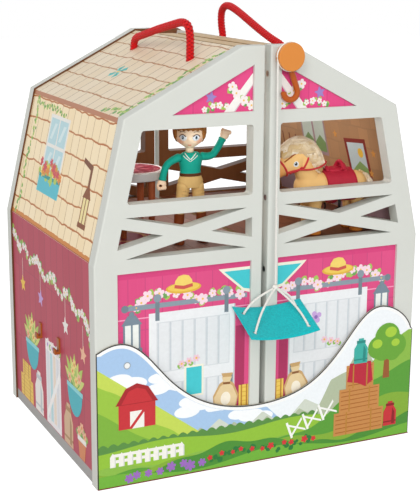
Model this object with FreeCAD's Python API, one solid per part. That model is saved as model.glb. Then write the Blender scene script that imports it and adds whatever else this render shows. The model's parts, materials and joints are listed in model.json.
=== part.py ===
import FreeCAD, Part
import math
import os

# Toy horse ranch, in millimetres. +Z is up, +X is to the right and -Y is the front.
# The barn is two wooden halves that meet at x = 0 and open on a hinge at the back.
# The origin is on the floor, midway between the front of the sling and the back of the hinge.

# Barn body
BODY_WIDTH = 364.0
BODY_DEPTH = 296.0
BODY_HEIGHT = 430.0
EAVE_HEIGHT_share = 0.5279
KNEE_HALF_WIDTH_share = 0.4121
KNEE_HEIGHT_share = 0.8512
RIDGE_HALF_WIDTH = 27.0
SEAM_GAP = 6.0
FRAME_THICKNESS = 15.0
FRAME_ROUND = 1.8
WALL_THICKNESS = 8.0
WALL_INSET = 2.0
BASE_THICKNESS = 12.0
FLOOR_THICKNESS = 8.0
FLOOR_ABOVE_EAVE = 3.0
RIDGE_GROOVE = 2.5
RIDGE_NOTCH = 55.0
BOARD_FIT = 0.2
OVERRUN = 5.0

# Cut-outs of the four end frames
STILE_WIDTH = 12.0
ROOF_RAIL = 21.5
SIDE_RAIL = 20.0
WALL_STILE = 23.6
GABLE_ABOVE_KNEE = 1.0
WINDOW_BELOW_KNEE = 12.0
WINDOW_ABOVE_BRACE = 12.5
WINDOW_CORNER = 3.0
BRACE_OPENING = 40.5
BRACE_ABOVE_FLOOR = 1.5
BRACE_BAR = 11.5
BRACE_SLOPE_share = 0.225
DOOR_SILL = 16.0
DOOR_BELOW_FLOOR = 12.5
PANEL_THICKNESS = 3.0
PANEL_RECESS = 3.0
PANEL_MARGIN = 3.0

# Magnets in the front seam
MAGNET_RADIUS = 3.0
MAGNET_DEPTH = 3.0
MAGNET_FIT = 0.05
MAGNET_HEIGHT_shares = (0.4767, 0.6488, 0.9349)

# Rear hinges
HINGE_PIN_RADIUS = 1.5
HINGE_PIN_FIT = 0.05
HINGE_PIN_HEAD = 2.6
HINGE_PIN_HEAD_THICKNESS = 1.2
HINGE_BARREL_RADIUS = 3.2
HINGE_AXIS_REACH = 3.4
HINGE_LEAF_THICKNESS = 1.2
HINGE_LEAF_WIDTH = 13.5
HINGE_BARREL_CLEARANCE = 0.5
HINGE_KNUCKLE = 10.0
HINGE_KNUCKLE_GAP = 0.3
HINGE_HEIGHT_shares = (0.1628, 0.786)
HINGE_SCREW_RADIUS = 1.0
HINGE_SCREW_HEAD = 2.0
HINGE_SCREW_HEAD_THICKNESS = 0.8
HINGE_SCREW_LENGTH = 9.0
HINGE_SCREW_SPACING = 20.0

# Wall hooks on the left side
WALL_HOOK_PLACES = ((117.0, 106.0), (180.0, 105.0))
WALL_HOOK_WIDTH = 7.0
WALL_HOOK_HEIGHT = 17.0
WALL_HOOK_PLATE = 1.8
WALL_HOOK_REACH = 6.5
WALL_HOOK_NOSE = 3.0
WALL_HOOK_ROUND = 0.8

# Rope handles
ROPE_DIAMETER = 8.0
ROPE_HOLE_CLEARANCE = 0.4
ROPE_KNOT_RADIUS = 7.0
ROPE_KNOT_CLEARANCE = 0.4
ROPE_X_share = 0.1511
ROPE_BACK = 215.0
ROPE_FRONT = 63.0
ARC_share = 0.45

# Winch, hook and sling on the right half
WINCH_X = 18.2
WINCH_BELOW_RIDGE = 10.6
AXLE_RADIUS = 3.0
AXLE_DEPTH = 11.0
AXLE_HEAD_RADIUS = 5.0
AXLE_HEAD_THICKNESS = 1.5
AXLE_HEAD_PLAY = 0.3
RUNNING_FIT = 0.05
DRUM_RADIUS = 14.0
DRUM_GROOVE_RADIUS = 12.0
DRUM_GROOVE_WIDTH = 2.6
DRUM_FLANGE = 1.2
DRUM_THICKNESS = 5.4
CAP_THICKNESS = 2.2
CAP_ROUND = 0.9
HOOK_ROD_RADIUS = 3.0
HOOK_EYE_RADIUS = 6.6
HOOK_EYE_FIT = 0.08
HOOK_EYE_THICKNESS = 6.5
HOOK_END_ROUND = 2.0
HOOK_STANDOFF = 0.4
HOOK_BOWL_RADIUS = 7.5
HOOK_BOWL_DROP = 35.0
HOOK_BOWL_SHIFT = 4.8
HOOK_TIP_TURN = 8.0
CORD_DIAMETER = 1.8
CORD_SEAT_CLEARANCE = 0.3
SLING_WIDTH = 77.0
SLING_BACK = 5.0
SLING_FRONT = 48.0
SLING_BACK_HEIGHT = 173.0
SLING_DROP = 21.0
SLING_SAG = 4.0
SLING_THICKNESS = 2.4
SLING_HOLE_RADIUS = 2.7
SLING_HOLE_INSET = 8.5
GATHER_X = 2.5
GATHER_REACH = 19.0
GATHER_ABOVE_SLING = 19.8
GATHER_RADIUS = 2.6

# Display card in front of the lower part
CARD_THICKNESS = 1.2
CARD_GAP = 0.3
CARD_FLOOR_GAP = 0.5
CARD_TOP = 152.0
CARD_OUTLINE_shares = (
    (-0.5, 0.93),
    (-0.41, 0.97),
    (-0.29, 0.70),
    (-0.16, 0.48),
    (0.0, 0.42),
    (0.14, 0.50),
    (0.27, 0.78),
    (0.38, 1.0),
    (0.46, 0.93),
    (0.5, 0.72),
)

# Doll on the left upper floor, with heights above its soles
DOLL_X_share = -0.1648
DOLL_Y = 50.0
STANDING_GAP = 0.3
DOLL_HEAD_HEIGHT = 111.0
DOLL_HEAD_HALF_WIDTH = 15.0
DOLL_HEAD_HALF_DEPTH = 15.0
DOLL_HEAD_HALF_HEIGHT = 17.5
DOLL_HAIR_THICKNESS = 2.0
DOLL_HAIR_LINE = 119.0
DOLL_HAIR_BACK = 101.0
DOLL_FRINGE_DEPTH = 8.0
DOLL_NECK_RADIUS = 4.0
DOLL_NECK_BOTTOM = 92.3
DOLL_JOINT_GAP = 0.35
DOLL_SHOULDER_X = 13.5
DOLL_SHOULDER_Z = 87.0
DOLL_SHOULDER_RADIUS = 4.2
DOLL_SLEEVE_RADIUS = 3.7
DOLL_HAND_RADIUS = 4.4
DOLL_HAND_REACH = 3.0
DOLL_LEFT_SLEEVE = ((13.5, 87.0), (23.0, 85.5), (30.0, 94.0), (35.5, 103.5))
DOLL_RIGHT_SLEEVE = ((-13.5, 87.0), (-23.5, 84.0), (-29.0, 75.0), (-30.5, 66.0))
DOLL_TORSO_SECTIONS = ((71.5, 11.0, 8.0), (79.0, 11.5, 8.5), (86.0, 12.5, 8.5), (92.0, 7.5, 5.5))
DOLL_BELT_HEIGHT = 3.0
DOLL_BELT_PROUD = 0.5
DOLL_PELVIS_SECTIONS = ((57.0, 14.2, 8.3), (61.0, 13.8, 8.5), (68.5, 11.2, 8.2))
DOLL_HIP_X = 7.9
DOLL_HIP_Z = 57.0
DOLL_HIP_RADIUS = 7.3
DOLL_LEG_SECTIONS = ((57.0, 7.0), (40.0, 6.3), (24.0, 5.2))
DOLL_BOOT_SHAFT_RADIUS = 5.7
DOLL_BOOT_TOP = 24.0
DOLL_BOOT_ANKLE = 5.0
DOLL_FOOT_HALF_WIDTH = 5.6
DOLL_FOOT_HALF_LENGTH = 9.0
DOLL_FOOT_HEIGHT = 8.0
DOLL_FOOT_FORWARD = 4.5

# Pony on the right upper floor, with places from its shoulder foot
PONY_FROM_WALL = 68.0
PONY_Y = 39.0
PONY_BARREL = ((-36.0, 50.0, 13.5), (-22.0, 48.0, 16.5), (-2.0, 46.5, 16.0), (14.5, 48.0, 16.6), (21.5, 49.0, 14.3))
PONY_NECK = ((-32.0, 54.0, 12.8), (-39.5, 68.0, 11.0), (-43.0, 81.0, 9.4))
PONY_HEAD = ((-42.5, 84.5, 9.0), (-51.5, 78.0, 11.6), (-62.5, 72.5, 9.6), (-71.0, 68.5, 7.8))
PONY_EAR_HEIGHT = 9.0
PONY_EAR_RADIUS = 3.2
PONY_EAR_SPREAD = 5.5
PONY_EAR_PLACE = (-44.0, 90.0)
PONY_LEG_SPREAD = 8.6
PONY_LEG_PLACES = (-30.0, 21.5)
PONY_LEG_SECTIONS = ((40.0, 8.2), (24.0, 5.9), (9.0, 5.4))
PONY_HOOF_HEIGHT = 9.0
PONY_HOOF_TOP_RADIUS = 5.9
PONY_HOOF_RADIUS = 7.4
PONY_MANE = ((-62.0, 87.0, 6.6), (-51.0, 93.5, 8.6), (-38.5, 91.0, 9.0), (-29.0, 80.0, 8.6), (-23.0, 67.5, 6.8))
PONY_TAIL = ((31.0, 57.0, 4.0), (38.0, 50.5, 6.2), (41.0, 37.0, 6.2), (39.0, 22.0, 3.0))
SADDLE_FRONT = -19.0
SADDLE_LENGTH = 34.0
SADDLE_RADIUS = 18.8
SADDLE_SKIRT_Z = 34.0
SADDLE_CENTRE_Z = 47.3
CANTLE_RADIUS = 8.5
CANTLE_THICKNESS = 3.5
CANTLE_RISE = 16.5
CANTLE_INSET = 7.5
REIN_DIAMETER = 1.8
NOSEBAND_PLACE = (-66.0, 70.9)
NOSEBAND_RADIUS = 9.9
REIN_SPREAD = 14.2
REIN_MIDDLE = (-40.0, 69.5)
REIN_MEET = (-13.5, 74.0)
STIRRUP_PLACE = (-7.0, 22.0)
STIRRUP_RADIUS = 6.2
STIRRUP_WIRE = 1.0
STIRRUP_STRAP_WIDTH = 3.0
STIRRUP_STRAP_THICKNESS = 0.8

# Round table on the left upper floor
TABLE_FROM_WALL = 71.0
TABLE_Y = 106.0
TABLE_RADIUS = 34.0
TABLE_HEIGHT = 69.0
TABLE_TOP_THICKNESS = 9.0
TABLE_EDGE_ROUND = 1.5
TABLE_LEG_TOP_RADIUS = 4.0
TABLE_LEG_FOOT_RADIUS = 3.0
TABLE_LEG_CIRCLE = 22.0
TABLE_LEG_COUNT = 4

HALF = 0.5
FULL_TURN = 360.0
QUARTER_TURN = 90.0
VECTOR = FreeCAD.Vector

# Places that follow from the sizes above
EAVE_HEIGHT = BODY_HEIGHT * EAVE_HEIGHT_share
KNEE_HEIGHT = BODY_HEIGHT * KNEE_HEIGHT_share
KNEE_HALF_WIDTH = BODY_WIDTH * KNEE_HALF_WIDTH_share
FLOOR_TOP = EAVE_HEIGHT + FLOOR_ABOVE_EAVE
DOOR_HEAD = FLOOR_TOP - DOOR_BELOW_FLOOR
BRACE_SILL = FLOOR_TOP + BRACE_ABOVE_FLOOR
BRACE_HEAD = BRACE_SILL + BRACE_OPENING
WINDOW_SILL = BRACE_HEAD + WINDOW_ABOVE_BRACE
WINDOW_HEAD = KNEE_HEIGHT - WINDOW_BELOW_KNEE
GABLE_SILL = KNEE_HEIGHT + GABLE_ABOVE_KNEE
WALL_INNER_X = BODY_WIDTH * HALF - WALL_INSET - WALL_THICKNESS
MAGNET_HEIGHTS = tuple(BODY_HEIGHT * share for share in MAGNET_HEIGHT_shares)
HINGE_HEIGHTS = tuple(BODY_HEIGHT * share for share in HINGE_HEIGHT_shares)
ROPE_X = BODY_WIDTH * ROPE_X_share
WINCH_Z = BODY_HEIGHT - WINCH_BELOW_RIDGE
GATHER_Z = SLING_BACK_HEIGHT + GATHER_ABOVE_SLING
DOLL_X = BODY_WIDTH * DOLL_X_share
PONY_X = WALL_INNER_X - PONY_FROM_WALL
TABLE_X = TABLE_FROM_WALL - WALL_INNER_X
HINGE_BACK_REACH = HINGE_AXIS_REACH + HINGE_BARREL_RADIUS
FRONT_Y = -(BODY_DEPTH + HINGE_BACK_REACH - SLING_FRONT) * HALF
REAR_Y = FRONT_Y + BODY_DEPTH
INNER_FRONT_Y = FRONT_Y + FRAME_THICKNESS
INNER_REAR_Y = REAR_Y - FRAME_THICKNESS
SEAM_X = SEAM_GAP * HALF
HINGE_AXIS_Y = REAR_Y + HINGE_AXIS_REACH
WINCH_DRUM_Y = FRONT_Y - HOOK_STANDOFF - HOOK_EYE_THICKNESS - HOOK_STANDOFF


def prism(points, y_low, y_high):
    """A solid whose outline in X and Z runs from y_low to y_high."""
    ring = [VECTOR(x, y_low, z) for x, z in points]
    ring.append(ring[0])
    return Part.Face(Part.makePolygon(ring)).extrude(VECTOR(0, y_high - y_low, 0))


def block(x_low, x_high, y_low, y_high, z_low, z_high):
    """A box from its two corners."""
    size = (x_high - x_low, y_high - y_low, z_high - z_low)
    return Part.makeBox(size[0], size[1], size[2], VECTOR(x_low, y_low, z_low))


def rod(radius, start, end):
    """A round bar between two points."""
    along = VECTOR(*end) - VECTOR(*start)
    return Part.makeCylinder(radius, along.Length, VECTOR(*start), along)


def ball(radius, centre):
    """A sphere about a point."""
    return Part.makeSphere(radius, VECTOR(*centre))


def ellipsoid(half_sizes, centre):
    """A unit sphere stretched to three half sizes and moved to its centre."""
    stretch = FreeCAD.Matrix()
    stretch.scale(*half_sizes)
    stretch.move(VECTOR(*centre))
    return Part.makeSphere(1).transformGeometry(stretch)


def fused(shapes):
    """One solid from several that overlap."""
    whole = shapes[0].fuse(list(shapes[1:]))
    return whole.removeSplitter()


def mirrored(shape, side):
    """The shape itself on the right, or its mirror image on the left."""
    if side == "right":
        return shape
    return shape.mirror(VECTOR(0, 0, 0), VECTOR(1, 0, 0))


def line_crossing(point, along, other, other_along):
    """Where two lines in the X and Z plane cross."""
    cross = along[0] * other_along[1] - along[1] * other_along[0]
    gap = (other[0] - point[0], other[1] - point[1])
    reach = (gap[0] * other_along[1] - gap[1] * other_along[0]) / cross
    return (point[0] + along[0] * reach, point[1] + along[1] * reach)


def move_sides(points, moves):
    """An anticlockwise outline with each side moved outwards by its own distance."""
    sides = []
    for here, there, move in zip(points, points[1:] + points[:1], moves):
        along = (there[0] - here[0], there[1] - here[1])
        length = math.hypot(*along)
        outwards = (along[1] / length * move, -along[0] / length * move)
        sides.append(((here[0] + outwards[0], here[1] + outwards[1]), along))
    before = sides[-1:] + sides[:-1]
    return [line_crossing(*a, *b) for a, b in zip(before, sides)]


def half_outline(inset):
    """The right half's outline, its wall, roof and ridge sides moved in by inset."""
    corners = [
        (SEAM_X, 0),
        (BODY_WIDTH * HALF, 0),
        (BODY_WIDTH * HALF, EAVE_HEIGHT),
        (KNEE_HALF_WIDTH, KNEE_HEIGHT),
        (RIDGE_HALF_WIDTH, BODY_HEIGHT),
        (SEAM_X, BODY_HEIGHT),
    ]
    return move_sides(corners, [0, -inset, -inset, -inset, -inset, 0])


def steep_x(height, inset):
    """X of the steep roof's line, moved in by inset, at a height."""
    eave, knee = half_outline(inset)[2:4]
    return eave[0] + (knee[0] - eave[0]) * (height - eave[1]) / (knee[1] - eave[1])


def shallow_z(x, inset):
    """Height of the shallow roof's line, moved in by inset, at an X."""
    knee, ridge = half_outline(inset)[3:5]
    return knee[1] + (ridge[1] - knee[1]) * (x - knee[0]) / (ridge[0] - knee[0])


def shallow_x(height, inset):
    """X of the shallow roof's line, moved in by inset, at a height."""
    knee, ridge = half_outline(inset)[3:5]
    return knee[0] + (ridge[0] - knee[0]) * (height - knee[1]) / (ridge[1] - knee[1])


def gable_opening():
    """The three corners of the opening under the shallow roof."""
    inner = SEAM_X + STILE_WIDTH
    return [
        (inner, GABLE_SILL),
        (shallow_x(GABLE_SILL, ROOF_RAIL), GABLE_SILL),
        (inner, shallow_z(inner, ROOF_RAIL)),
    ]


def slanted_opening(sill, head):
    """An opening beside the steep roof, from its sill to its head."""
    inner = SEAM_X + STILE_WIDTH
    return [
        (inner, sill),
        (steep_x(sill, SIDE_RAIL), sill),
        (steep_x(head, SIDE_RAIL), head),
        (inner, head),
    ]


def door_opening():
    """The opening that frames the lower door panel."""
    inner = SEAM_X + STILE_WIDTH
    outer = BODY_WIDTH * HALF - WALL_STILE
    return [(inner, DOOR_SILL), (outer, DOOR_SILL), (outer, DOOR_HEAD), (inner, DOOR_HEAD)]


def brace_bar(rising, y_low, y_high):
    """One bar of the X-shaped brace, rising or falling to the right."""
    inner = SEAM_X + STILE_WIDTH
    outer = (steep_x(BRACE_SILL, SIDE_RAIL) + steep_x(BRACE_HEAD, SIDE_RAIL)) * HALF
    middle_x = (inner + outer) * HALF
    middle_z = (BRACE_SILL + BRACE_HEAD) * HALF
    reach = BODY_WIDTH * HALF
    rise = reach * BRACE_SLOPE_share * (1 if rising else -1)
    thick = BRACE_BAR * HALF
    return prism(
        [
            (middle_x - reach, middle_z - rise - thick),
            (middle_x + reach, middle_z + rise - thick),
            (middle_x + reach, middle_z + rise + thick),
            (middle_x - reach, middle_z - rise + thick),
        ],
        y_low,
        y_high,
    )


def panel_outline(opening, margin):
    """The outline of a board that laps behind an opening by a margin."""
    return move_sides(opening, [margin] * len(opening))


def end_frame(rear):
    """A frame board with its window, X-shaped brace, gable and door openings."""
    outer_y, inner_y = (REAR_Y, INNER_REAR_Y) if rear else (FRONT_Y, INNER_FRONT_Y)
    low, high = min(outer_y, inner_y), max(outer_y, inner_y)
    board = prism(half_outline(0), low, high)
    rim = [
        edge
        for edge in board.Edges
        if all(abs(v.Y - outer_y) < FRAME_ROUND for v in edge.Vertexes)
        and max(v.Z for v in edge.Vertexes) > FRAME_ROUND
    ]
    board = board.makeFillet(FRAME_ROUND, rim)
    cut_low, cut_high = low - OVERRUN, high + OVERRUN
    window = prism(slanted_opening(WINDOW_SILL, WINDOW_HEAD), cut_low, cut_high)
    corners = [e for e in window.Edges if abs(e.Vertexes[0].Y - e.Vertexes[-1].Y) > OVERRUN]
    board = board.cut(window.makeFillet(WINDOW_CORNER, corners))
    brace = prism(slanted_opening(BRACE_SILL, BRACE_HEAD), cut_low, cut_high)
    for rising in (True, False):
        brace = brace.cut(brace_bar(rising, cut_low - OVERRUN, cut_high + OVERRUN))
    board = board.cut(brace)
    rebate_start = outer_y + PANEL_RECESS * (-1 if rear else 1)
    rebate_end = inner_y + OVERRUN * (-1 if rear else 1)
    for opening in (gable_opening(), door_opening()):
        board = board.cut(prism(opening, cut_low, cut_high))
        pocket = panel_outline(opening, PANEL_MARGIN + BOARD_FIT)
        board = board.cut(prism(pocket, min(rebate_start, rebate_end), max(rebate_start, rebate_end)))
    return board


def end_panel(opening, rear):
    """A board that fills an opening from behind and lies against its lap."""
    start = REAR_Y - PANEL_RECESS - PANEL_THICKNESS if rear else FRONT_Y + PANEL_RECESS
    return prism(panel_outline(opening, PANEL_MARGIN), start, start + PANEL_THICKNESS)


def roof_board(first):
    """One long board between the frames, along the outline's side that starts at a corner."""
    outside = half_outline(WALL_INSET)
    inside = half_outline(WALL_INSET + WALL_THICKNESS)
    ring = [inside[first], outside[first], outside[first + 1], inside[first + 1]]
    return prism(ring, INNER_FRONT_Y, INNER_REAR_Y)


def side_wall():
    """The upright wall, which stands on the base board."""
    below = block(0, BODY_WIDTH, FRONT_Y, REAR_Y, -OVERRUN, BASE_THICKNESS)
    return roof_board(1).cut(below)


def rope_hole(y_place):
    """The round hole that a rope end goes down through."""
    radius = ROPE_DIAMETER * HALF + ROPE_HOLE_CLEARANCE
    return rod(radius, (ROPE_X, y_place, KNEE_HEIGHT), (ROPE_X, y_place, BODY_HEIGHT))


def shallow_roof():
    """The upper roof board, with two rope holes and a groove beside the ridge board."""
    board = roof_board(3)
    for place in (ROPE_BACK, ROPE_FRONT):
        board = board.cut(rope_hole(FRONT_Y + place))
    return board


def ridge_board():
    """The flat board at the top, short of the rear frame by its notch."""
    top = BODY_HEIGHT - WALL_INSET
    outer = half_outline(WALL_INSET + WALL_THICKNESS)[4][0] - RIDGE_GROOVE
    low = top - WALL_THICKNESS
    return block(SEAM_X, outer, INNER_FRONT_Y, INNER_REAR_Y - RIDGE_NOTCH, low, top)


def base_board():
    """The bottom board under a half."""
    outer = BODY_WIDTH * HALF - WALL_INSET
    return block(SEAM_X, outer, INNER_FRONT_Y, INNER_REAR_Y, 0, BASE_THICKNESS)


def upper_floor():
    """The floor of the room above, let in between the walls and the frames."""
    lower = FLOOR_TOP - FLOOR_THICKNESS
    outer = BODY_WIDTH * HALF - WALL_INSET - WALL_THICKNESS
    outer = min(outer, steep_x(FLOOR_TOP, WALL_INSET + WALL_THICKNESS)) - BOARD_FIT
    return block(SEAM_X, outer, INNER_FRONT_Y, INNER_REAR_Y, lower, FLOOR_TOP)


def magnet(height, radius, depth):
    """A round magnet in the seam edge of a front frame."""
    middle = FRONT_Y + FRAME_THICKNESS * HALF
    return rod(radius, (SEAM_X, middle, height), (SEAM_X + depth, middle, height))


def magnets():
    """The magnets of one half, in their pockets."""
    return Part.makeCompound([magnet(z, MAGNET_RADIUS, MAGNET_DEPTH) for z in MAGNET_HEIGHTS])


def front_frame(side):
    """The front frame of a half, with magnet pockets and, on the right, the winch's bore."""
    board = end_frame(False)
    for height in MAGNET_HEIGHTS:
        board = board.cut(magnet(height, MAGNET_RADIUS + MAGNET_FIT, MAGNET_DEPTH + MAGNET_FIT))
    if side == "right":
        mouth = (WINCH_X, FRONT_Y - OVERRUN, WINCH_Z)
        bottom = (WINCH_X, FRONT_Y + AXLE_DEPTH, WINCH_Z)
        board = board.cut(rod(AXLE_RADIUS, mouth, bottom))
    return mirrored(board, side)


def knuckle_levels(height):
    """The bottom and top of the three knuckles of a hinge about a height."""
    pitch = HINGE_KNUCKLE + HINGE_KNUCKLE_GAP
    lows = [height + pitch * step - HINGE_KNUCKLE * HALF for step in (-1, 0, 1)]
    return [(low, low + HINGE_KNUCKLE) for low in lows]


def hinge_leaf(height, side):
    """One leaf on the right-hand side: the right one has the outer knuckles."""
    levels = knuckle_levels(height)
    bottom, top = levels[0][0], levels[-1][1]
    inner = HINGE_BARREL_RADIUS + HINGE_BARREL_CLEARANCE
    plate_y = REAR_Y + HINGE_LEAF_THICKNESS
    pieces = [block(inner, HINGE_LEAF_WIDTH, REAR_Y, plate_y, bottom, top)]
    own = (levels[0], levels[2]) if side == "right" else (levels[1],)
    for low, high in own:
        pieces.append(block(0, inner, REAR_Y, plate_y, low, high))
        pieces.append(rod(HINGE_BARREL_RADIUS, (0, HINGE_AXIS_Y, low), (0, HINGE_AXIS_Y, high)))
    leaf = fused(pieces)
    bore = HINGE_PIN_RADIUS + HINGE_PIN_FIT
    leaf = leaf.cut(rod(bore, (0, HINGE_AXIS_Y, bottom - OVERRUN), (0, HINGE_AXIS_Y, top + OVERRUN)))
    for screw_z in screw_heights(height):
        leaf = leaf.cut(hinge_screw(screw_z))
    return leaf


def screw_heights(height):
    """The heights of a leaf's two screws."""
    return (height - HINGE_SCREW_SPACING * HALF, height + HINGE_SCREW_SPACING * HALF)


def hinge_screw(height):
    """A countersunk wood screw through a leaf into the rear frame."""
    x_place = (HINGE_BARREL_RADIUS + HINGE_BARREL_CLEARANCE + HINGE_LEAF_WIDTH) * HALF
    face = REAR_Y + HINGE_LEAF_THICKNESS
    under = face - HINGE_SCREW_HEAD_THICKNESS
    head = Part.makeCone(
        HINGE_SCREW_RADIUS,
        HINGE_SCREW_HEAD,
        HINGE_SCREW_HEAD_THICKNESS,
        VECTOR(x_place, under, height),
        VECTOR(0, 1, 0),
    )
    tip = (x_place, face - HINGE_SCREW_LENGTH, height)
    return fused([head, rod(HINGE_SCREW_RADIUS, tip, (x_place, under, height))])


def hinge_leaves(side):
    """Both leaves of a half."""
    leaves = Part.makeCompound([hinge_leaf(z, side) for z in HINGE_HEIGHTS])
    return mirrored(leaves, side)


def hinge_screws(side):
    """All hinge screws of a half."""
    screws = [hinge_screw(z) for height in HINGE_HEIGHTS for z in screw_heights(height)]
    return mirrored(Part.makeCompound(screws), side)


def hinge_pins():
    """The two hinge pins, with a head on the top and bottom knuckles."""
    pins = []
    for height in HINGE_HEIGHTS:
        levels = knuckle_levels(height)
        bottom, top = levels[0][0], levels[-1][1]
        heads = [(bottom - HINGE_PIN_HEAD_THICKNESS, bottom), (top, top + HINGE_PIN_HEAD_THICKNESS)]
        pieces = [rod(HINGE_PIN_RADIUS, (0, HINGE_AXIS_Y, heads[0][0]), (0, HINGE_AXIS_Y, heads[1][1]))]
        for low, high in heads:
            pieces.append(rod(HINGE_PIN_HEAD, (0, HINGE_AXIS_Y, low), (0, HINGE_AXIS_Y, high)))
        pins.append(fused(pieces))
    return Part.makeCompound(pins)


def wall_hook(y_place, z_place):
    """A small rounded hook with a plate on the wall and an upturned nose."""
    wall_x = BODY_WIDTH * HALF - WALL_INSET
    plate_x = wall_x + WALL_HOOK_PLATE
    tip_x = wall_x + WALL_HOOK_REACH
    profile = [
        (wall_x, z_place),
        (tip_x, z_place),
        (tip_x, z_place + WALL_HOOK_NOSE + WALL_HOOK_NOSE),
        (tip_x - WALL_HOOK_PLATE, z_place + WALL_HOOK_NOSE + WALL_HOOK_NOSE),
        (tip_x - WALL_HOOK_PLATE, z_place + WALL_HOOK_NOSE),
        (plate_x, z_place + WALL_HOOK_NOSE),
        (plate_x, z_place + WALL_HOOK_HEIGHT),
        (wall_x, z_place + WALL_HOOK_HEIGHT),
    ]
    low = FRONT_Y + y_place - WALL_HOOK_WIDTH * HALF
    hook = prism(profile, low, low + WALL_HOOK_WIDTH)
    outer = [e for e in hook.Edges if min(v.X for v in e.Vertexes) > tip_x - WALL_HOOK_ROUND]
    return hook.makeFillet(WALL_HOOK_ROUND, outer)


def wall_hooks():
    """The two hooks on the left wall."""
    hooks = [wall_hook(y_place, z_place) for y_place, z_place in WALL_HOOK_PLACES]
    return mirrored(Part.makeCompound(hooks), "left")


def cord_tube(name, route, diameter):
    """A round cord: straight runs joined by tangent arcs, with its radii printed."""
    points = [VECTOR(*place) for place in route]
    edges = []
    start = points[0]
    radii = []
    for before, corner, after in zip(points, points[1:], points[2:]):
        into = corner - before
        away = after - corner
        trim = ARC_share * min(into.Length, away.Length)
        turn = into.getAngle(away)
        radius = trim / math.tan(turn * HALF)
        radii.append(round(radius, 1))
        into.normalize()
        away.normalize()
        towards_centre = (away - into).normalize()
        sagitta = radius / math.cos(turn * HALF) - radius
        leave = corner - into * trim
        rejoin = corner + away * trim
        edges.append(Part.LineSegment(start, leave).toShape())
        edges.append(Part.Arc(leave, corner + towards_centre * sagitta, rejoin).toShape())
        start = rejoin
    edges.append(Part.LineSegment(start, points[-1]).toShape())
    path = Part.Wire(edges)
    section = Part.Wire([Part.Circle(points[0], points[1] - points[0], diameter * HALF).toShape()])
    tube = path.makePipeShell([section], True, False)
    ideal = math.pi * (diameter * HALF) ** 2 * path.Length
    print(name, "radii", radii, "length", round(path.Length, 1), "volume share", round(tube.Volume / ideal, 4))
    return tube


def knot_place(side_sign, y_place):
    """The centre of the knot under the roof board, and the height of its flat top."""
    inner = shallow_z(ROPE_X, WALL_INSET + WALL_THICKNESS)
    knee, ridge = half_outline(0)[3:5]
    slope = math.atan2(ridge[1] - knee[1], knee[0] - ridge[0])
    centre = inner - (ROPE_KNOT_RADIUS + ROPE_KNOT_CLEARANCE) / math.cos(slope)
    top = centre + math.sqrt(ROPE_KNOT_RADIUS**2 - (ROPE_DIAMETER * HALF) ** 2)
    return (side_sign * ROPE_X, FRONT_Y + y_place, centre), top


def rope_knots(side_sign):
    """The two knots that hold a handle's ends inside the roof."""
    knots = []
    for place in (ROPE_BACK, ROPE_FRONT):
        centre, top = knot_place(side_sign, place)
        above = block(
            centre[0] - ROPE_KNOT_RADIUS,
            centre[0] + ROPE_KNOT_RADIUS,
            centre[1] - ROPE_KNOT_RADIUS,
            centre[1] + ROPE_KNOT_RADIUS,
            top,
            top + ROPE_KNOT_RADIUS,
        )
        knots.append(ball(ROPE_KNOT_RADIUS, centre).cut(above))
    return Part.makeCompound(knots)


def rope_handle(name, side_sign, route):
    """A handle's rope from one knot to the other, over its route."""
    ends = [knot_place(side_sign, place) for place in (ROPE_BACK, ROPE_FRONT)]
    back_end = (ends[0][0][0], ends[0][0][1], ends[0][1])
    front_end = (ends[1][0][0], ends[1][0][1], ends[1][1])
    middle = [(side_sign * (ROPE_X + x), FRONT_Y + y, BODY_HEIGHT + z) for x, y, z in route]
    return cord_tube(name, [back_end] + middle + [front_end], ROPE_DIAMETER)


def winch_axle():
    """The pin that the hook and the drum turn on, with its head in the drum's recess."""
    head_back = WINCH_DRUM_Y - DRUM_THICKNESS + AXLE_HEAD_THICKNESS + AXLE_HEAD_PLAY
    head_front = head_back - AXLE_HEAD_THICKNESS
    shank = rod(AXLE_RADIUS, (WINCH_X, FRONT_Y + AXLE_DEPTH, WINCH_Z), (WINCH_X, head_front, WINCH_Z))
    head = rod(AXLE_HEAD_RADIUS, (WINCH_X, head_back, WINCH_Z), (WINCH_X, head_front, WINCH_Z))
    return fused([shank, head])


def winch_drum():
    """The grooved wheel that winds the cord, as one turned profile."""
    back = WINCH_DRUM_Y
    front = WINCH_DRUM_Y - DRUM_THICKNESS
    recess = front + AXLE_HEAD_THICKNESS + AXLE_HEAD_PLAY + AXLE_HEAD_PLAY
    bore = AXLE_RADIUS + RUNNING_FIT
    pocket = AXLE_HEAD_RADIUS + AXLE_HEAD_PLAY
    profile = [
        (bore, back),
        (DRUM_RADIUS, back),
        (DRUM_RADIUS, back - DRUM_FLANGE),
        (DRUM_GROOVE_RADIUS, back - DRUM_FLANGE),
        (DRUM_GROOVE_RADIUS, back - DRUM_FLANGE - DRUM_GROOVE_WIDTH),
        (DRUM_RADIUS, back - DRUM_FLANGE - DRUM_GROOVE_WIDTH),
        (DRUM_RADIUS, front),
        (pocket, front),
        (pocket, recess),
        (bore, recess),
    ]
    ring = [VECTOR(WINCH_X + radius, y, WINCH_Z) for radius, y in profile]
    face = Part.Face(Part.makePolygon(ring + ring[:1]))
    return face.revolve(VECTOR(WINCH_X, 0, WINCH_Z), VECTOR(0, 1, 0), FULL_TURN)


def winch_cap():
    """The plain disc that closes the drum's front."""
    front = WINCH_DRUM_Y - DRUM_THICKNESS
    disc = rod(DRUM_RADIUS, (WINCH_X, front, WINCH_Z), (WINCH_X, front - CAP_THICKNESS, WINCH_Z))
    rim = [e for e in disc.Edges if e.BoundBox.YMax < front - CAP_THICKNESS * HALF]
    return disc.makeFillet(CAP_ROUND, rim)


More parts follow.
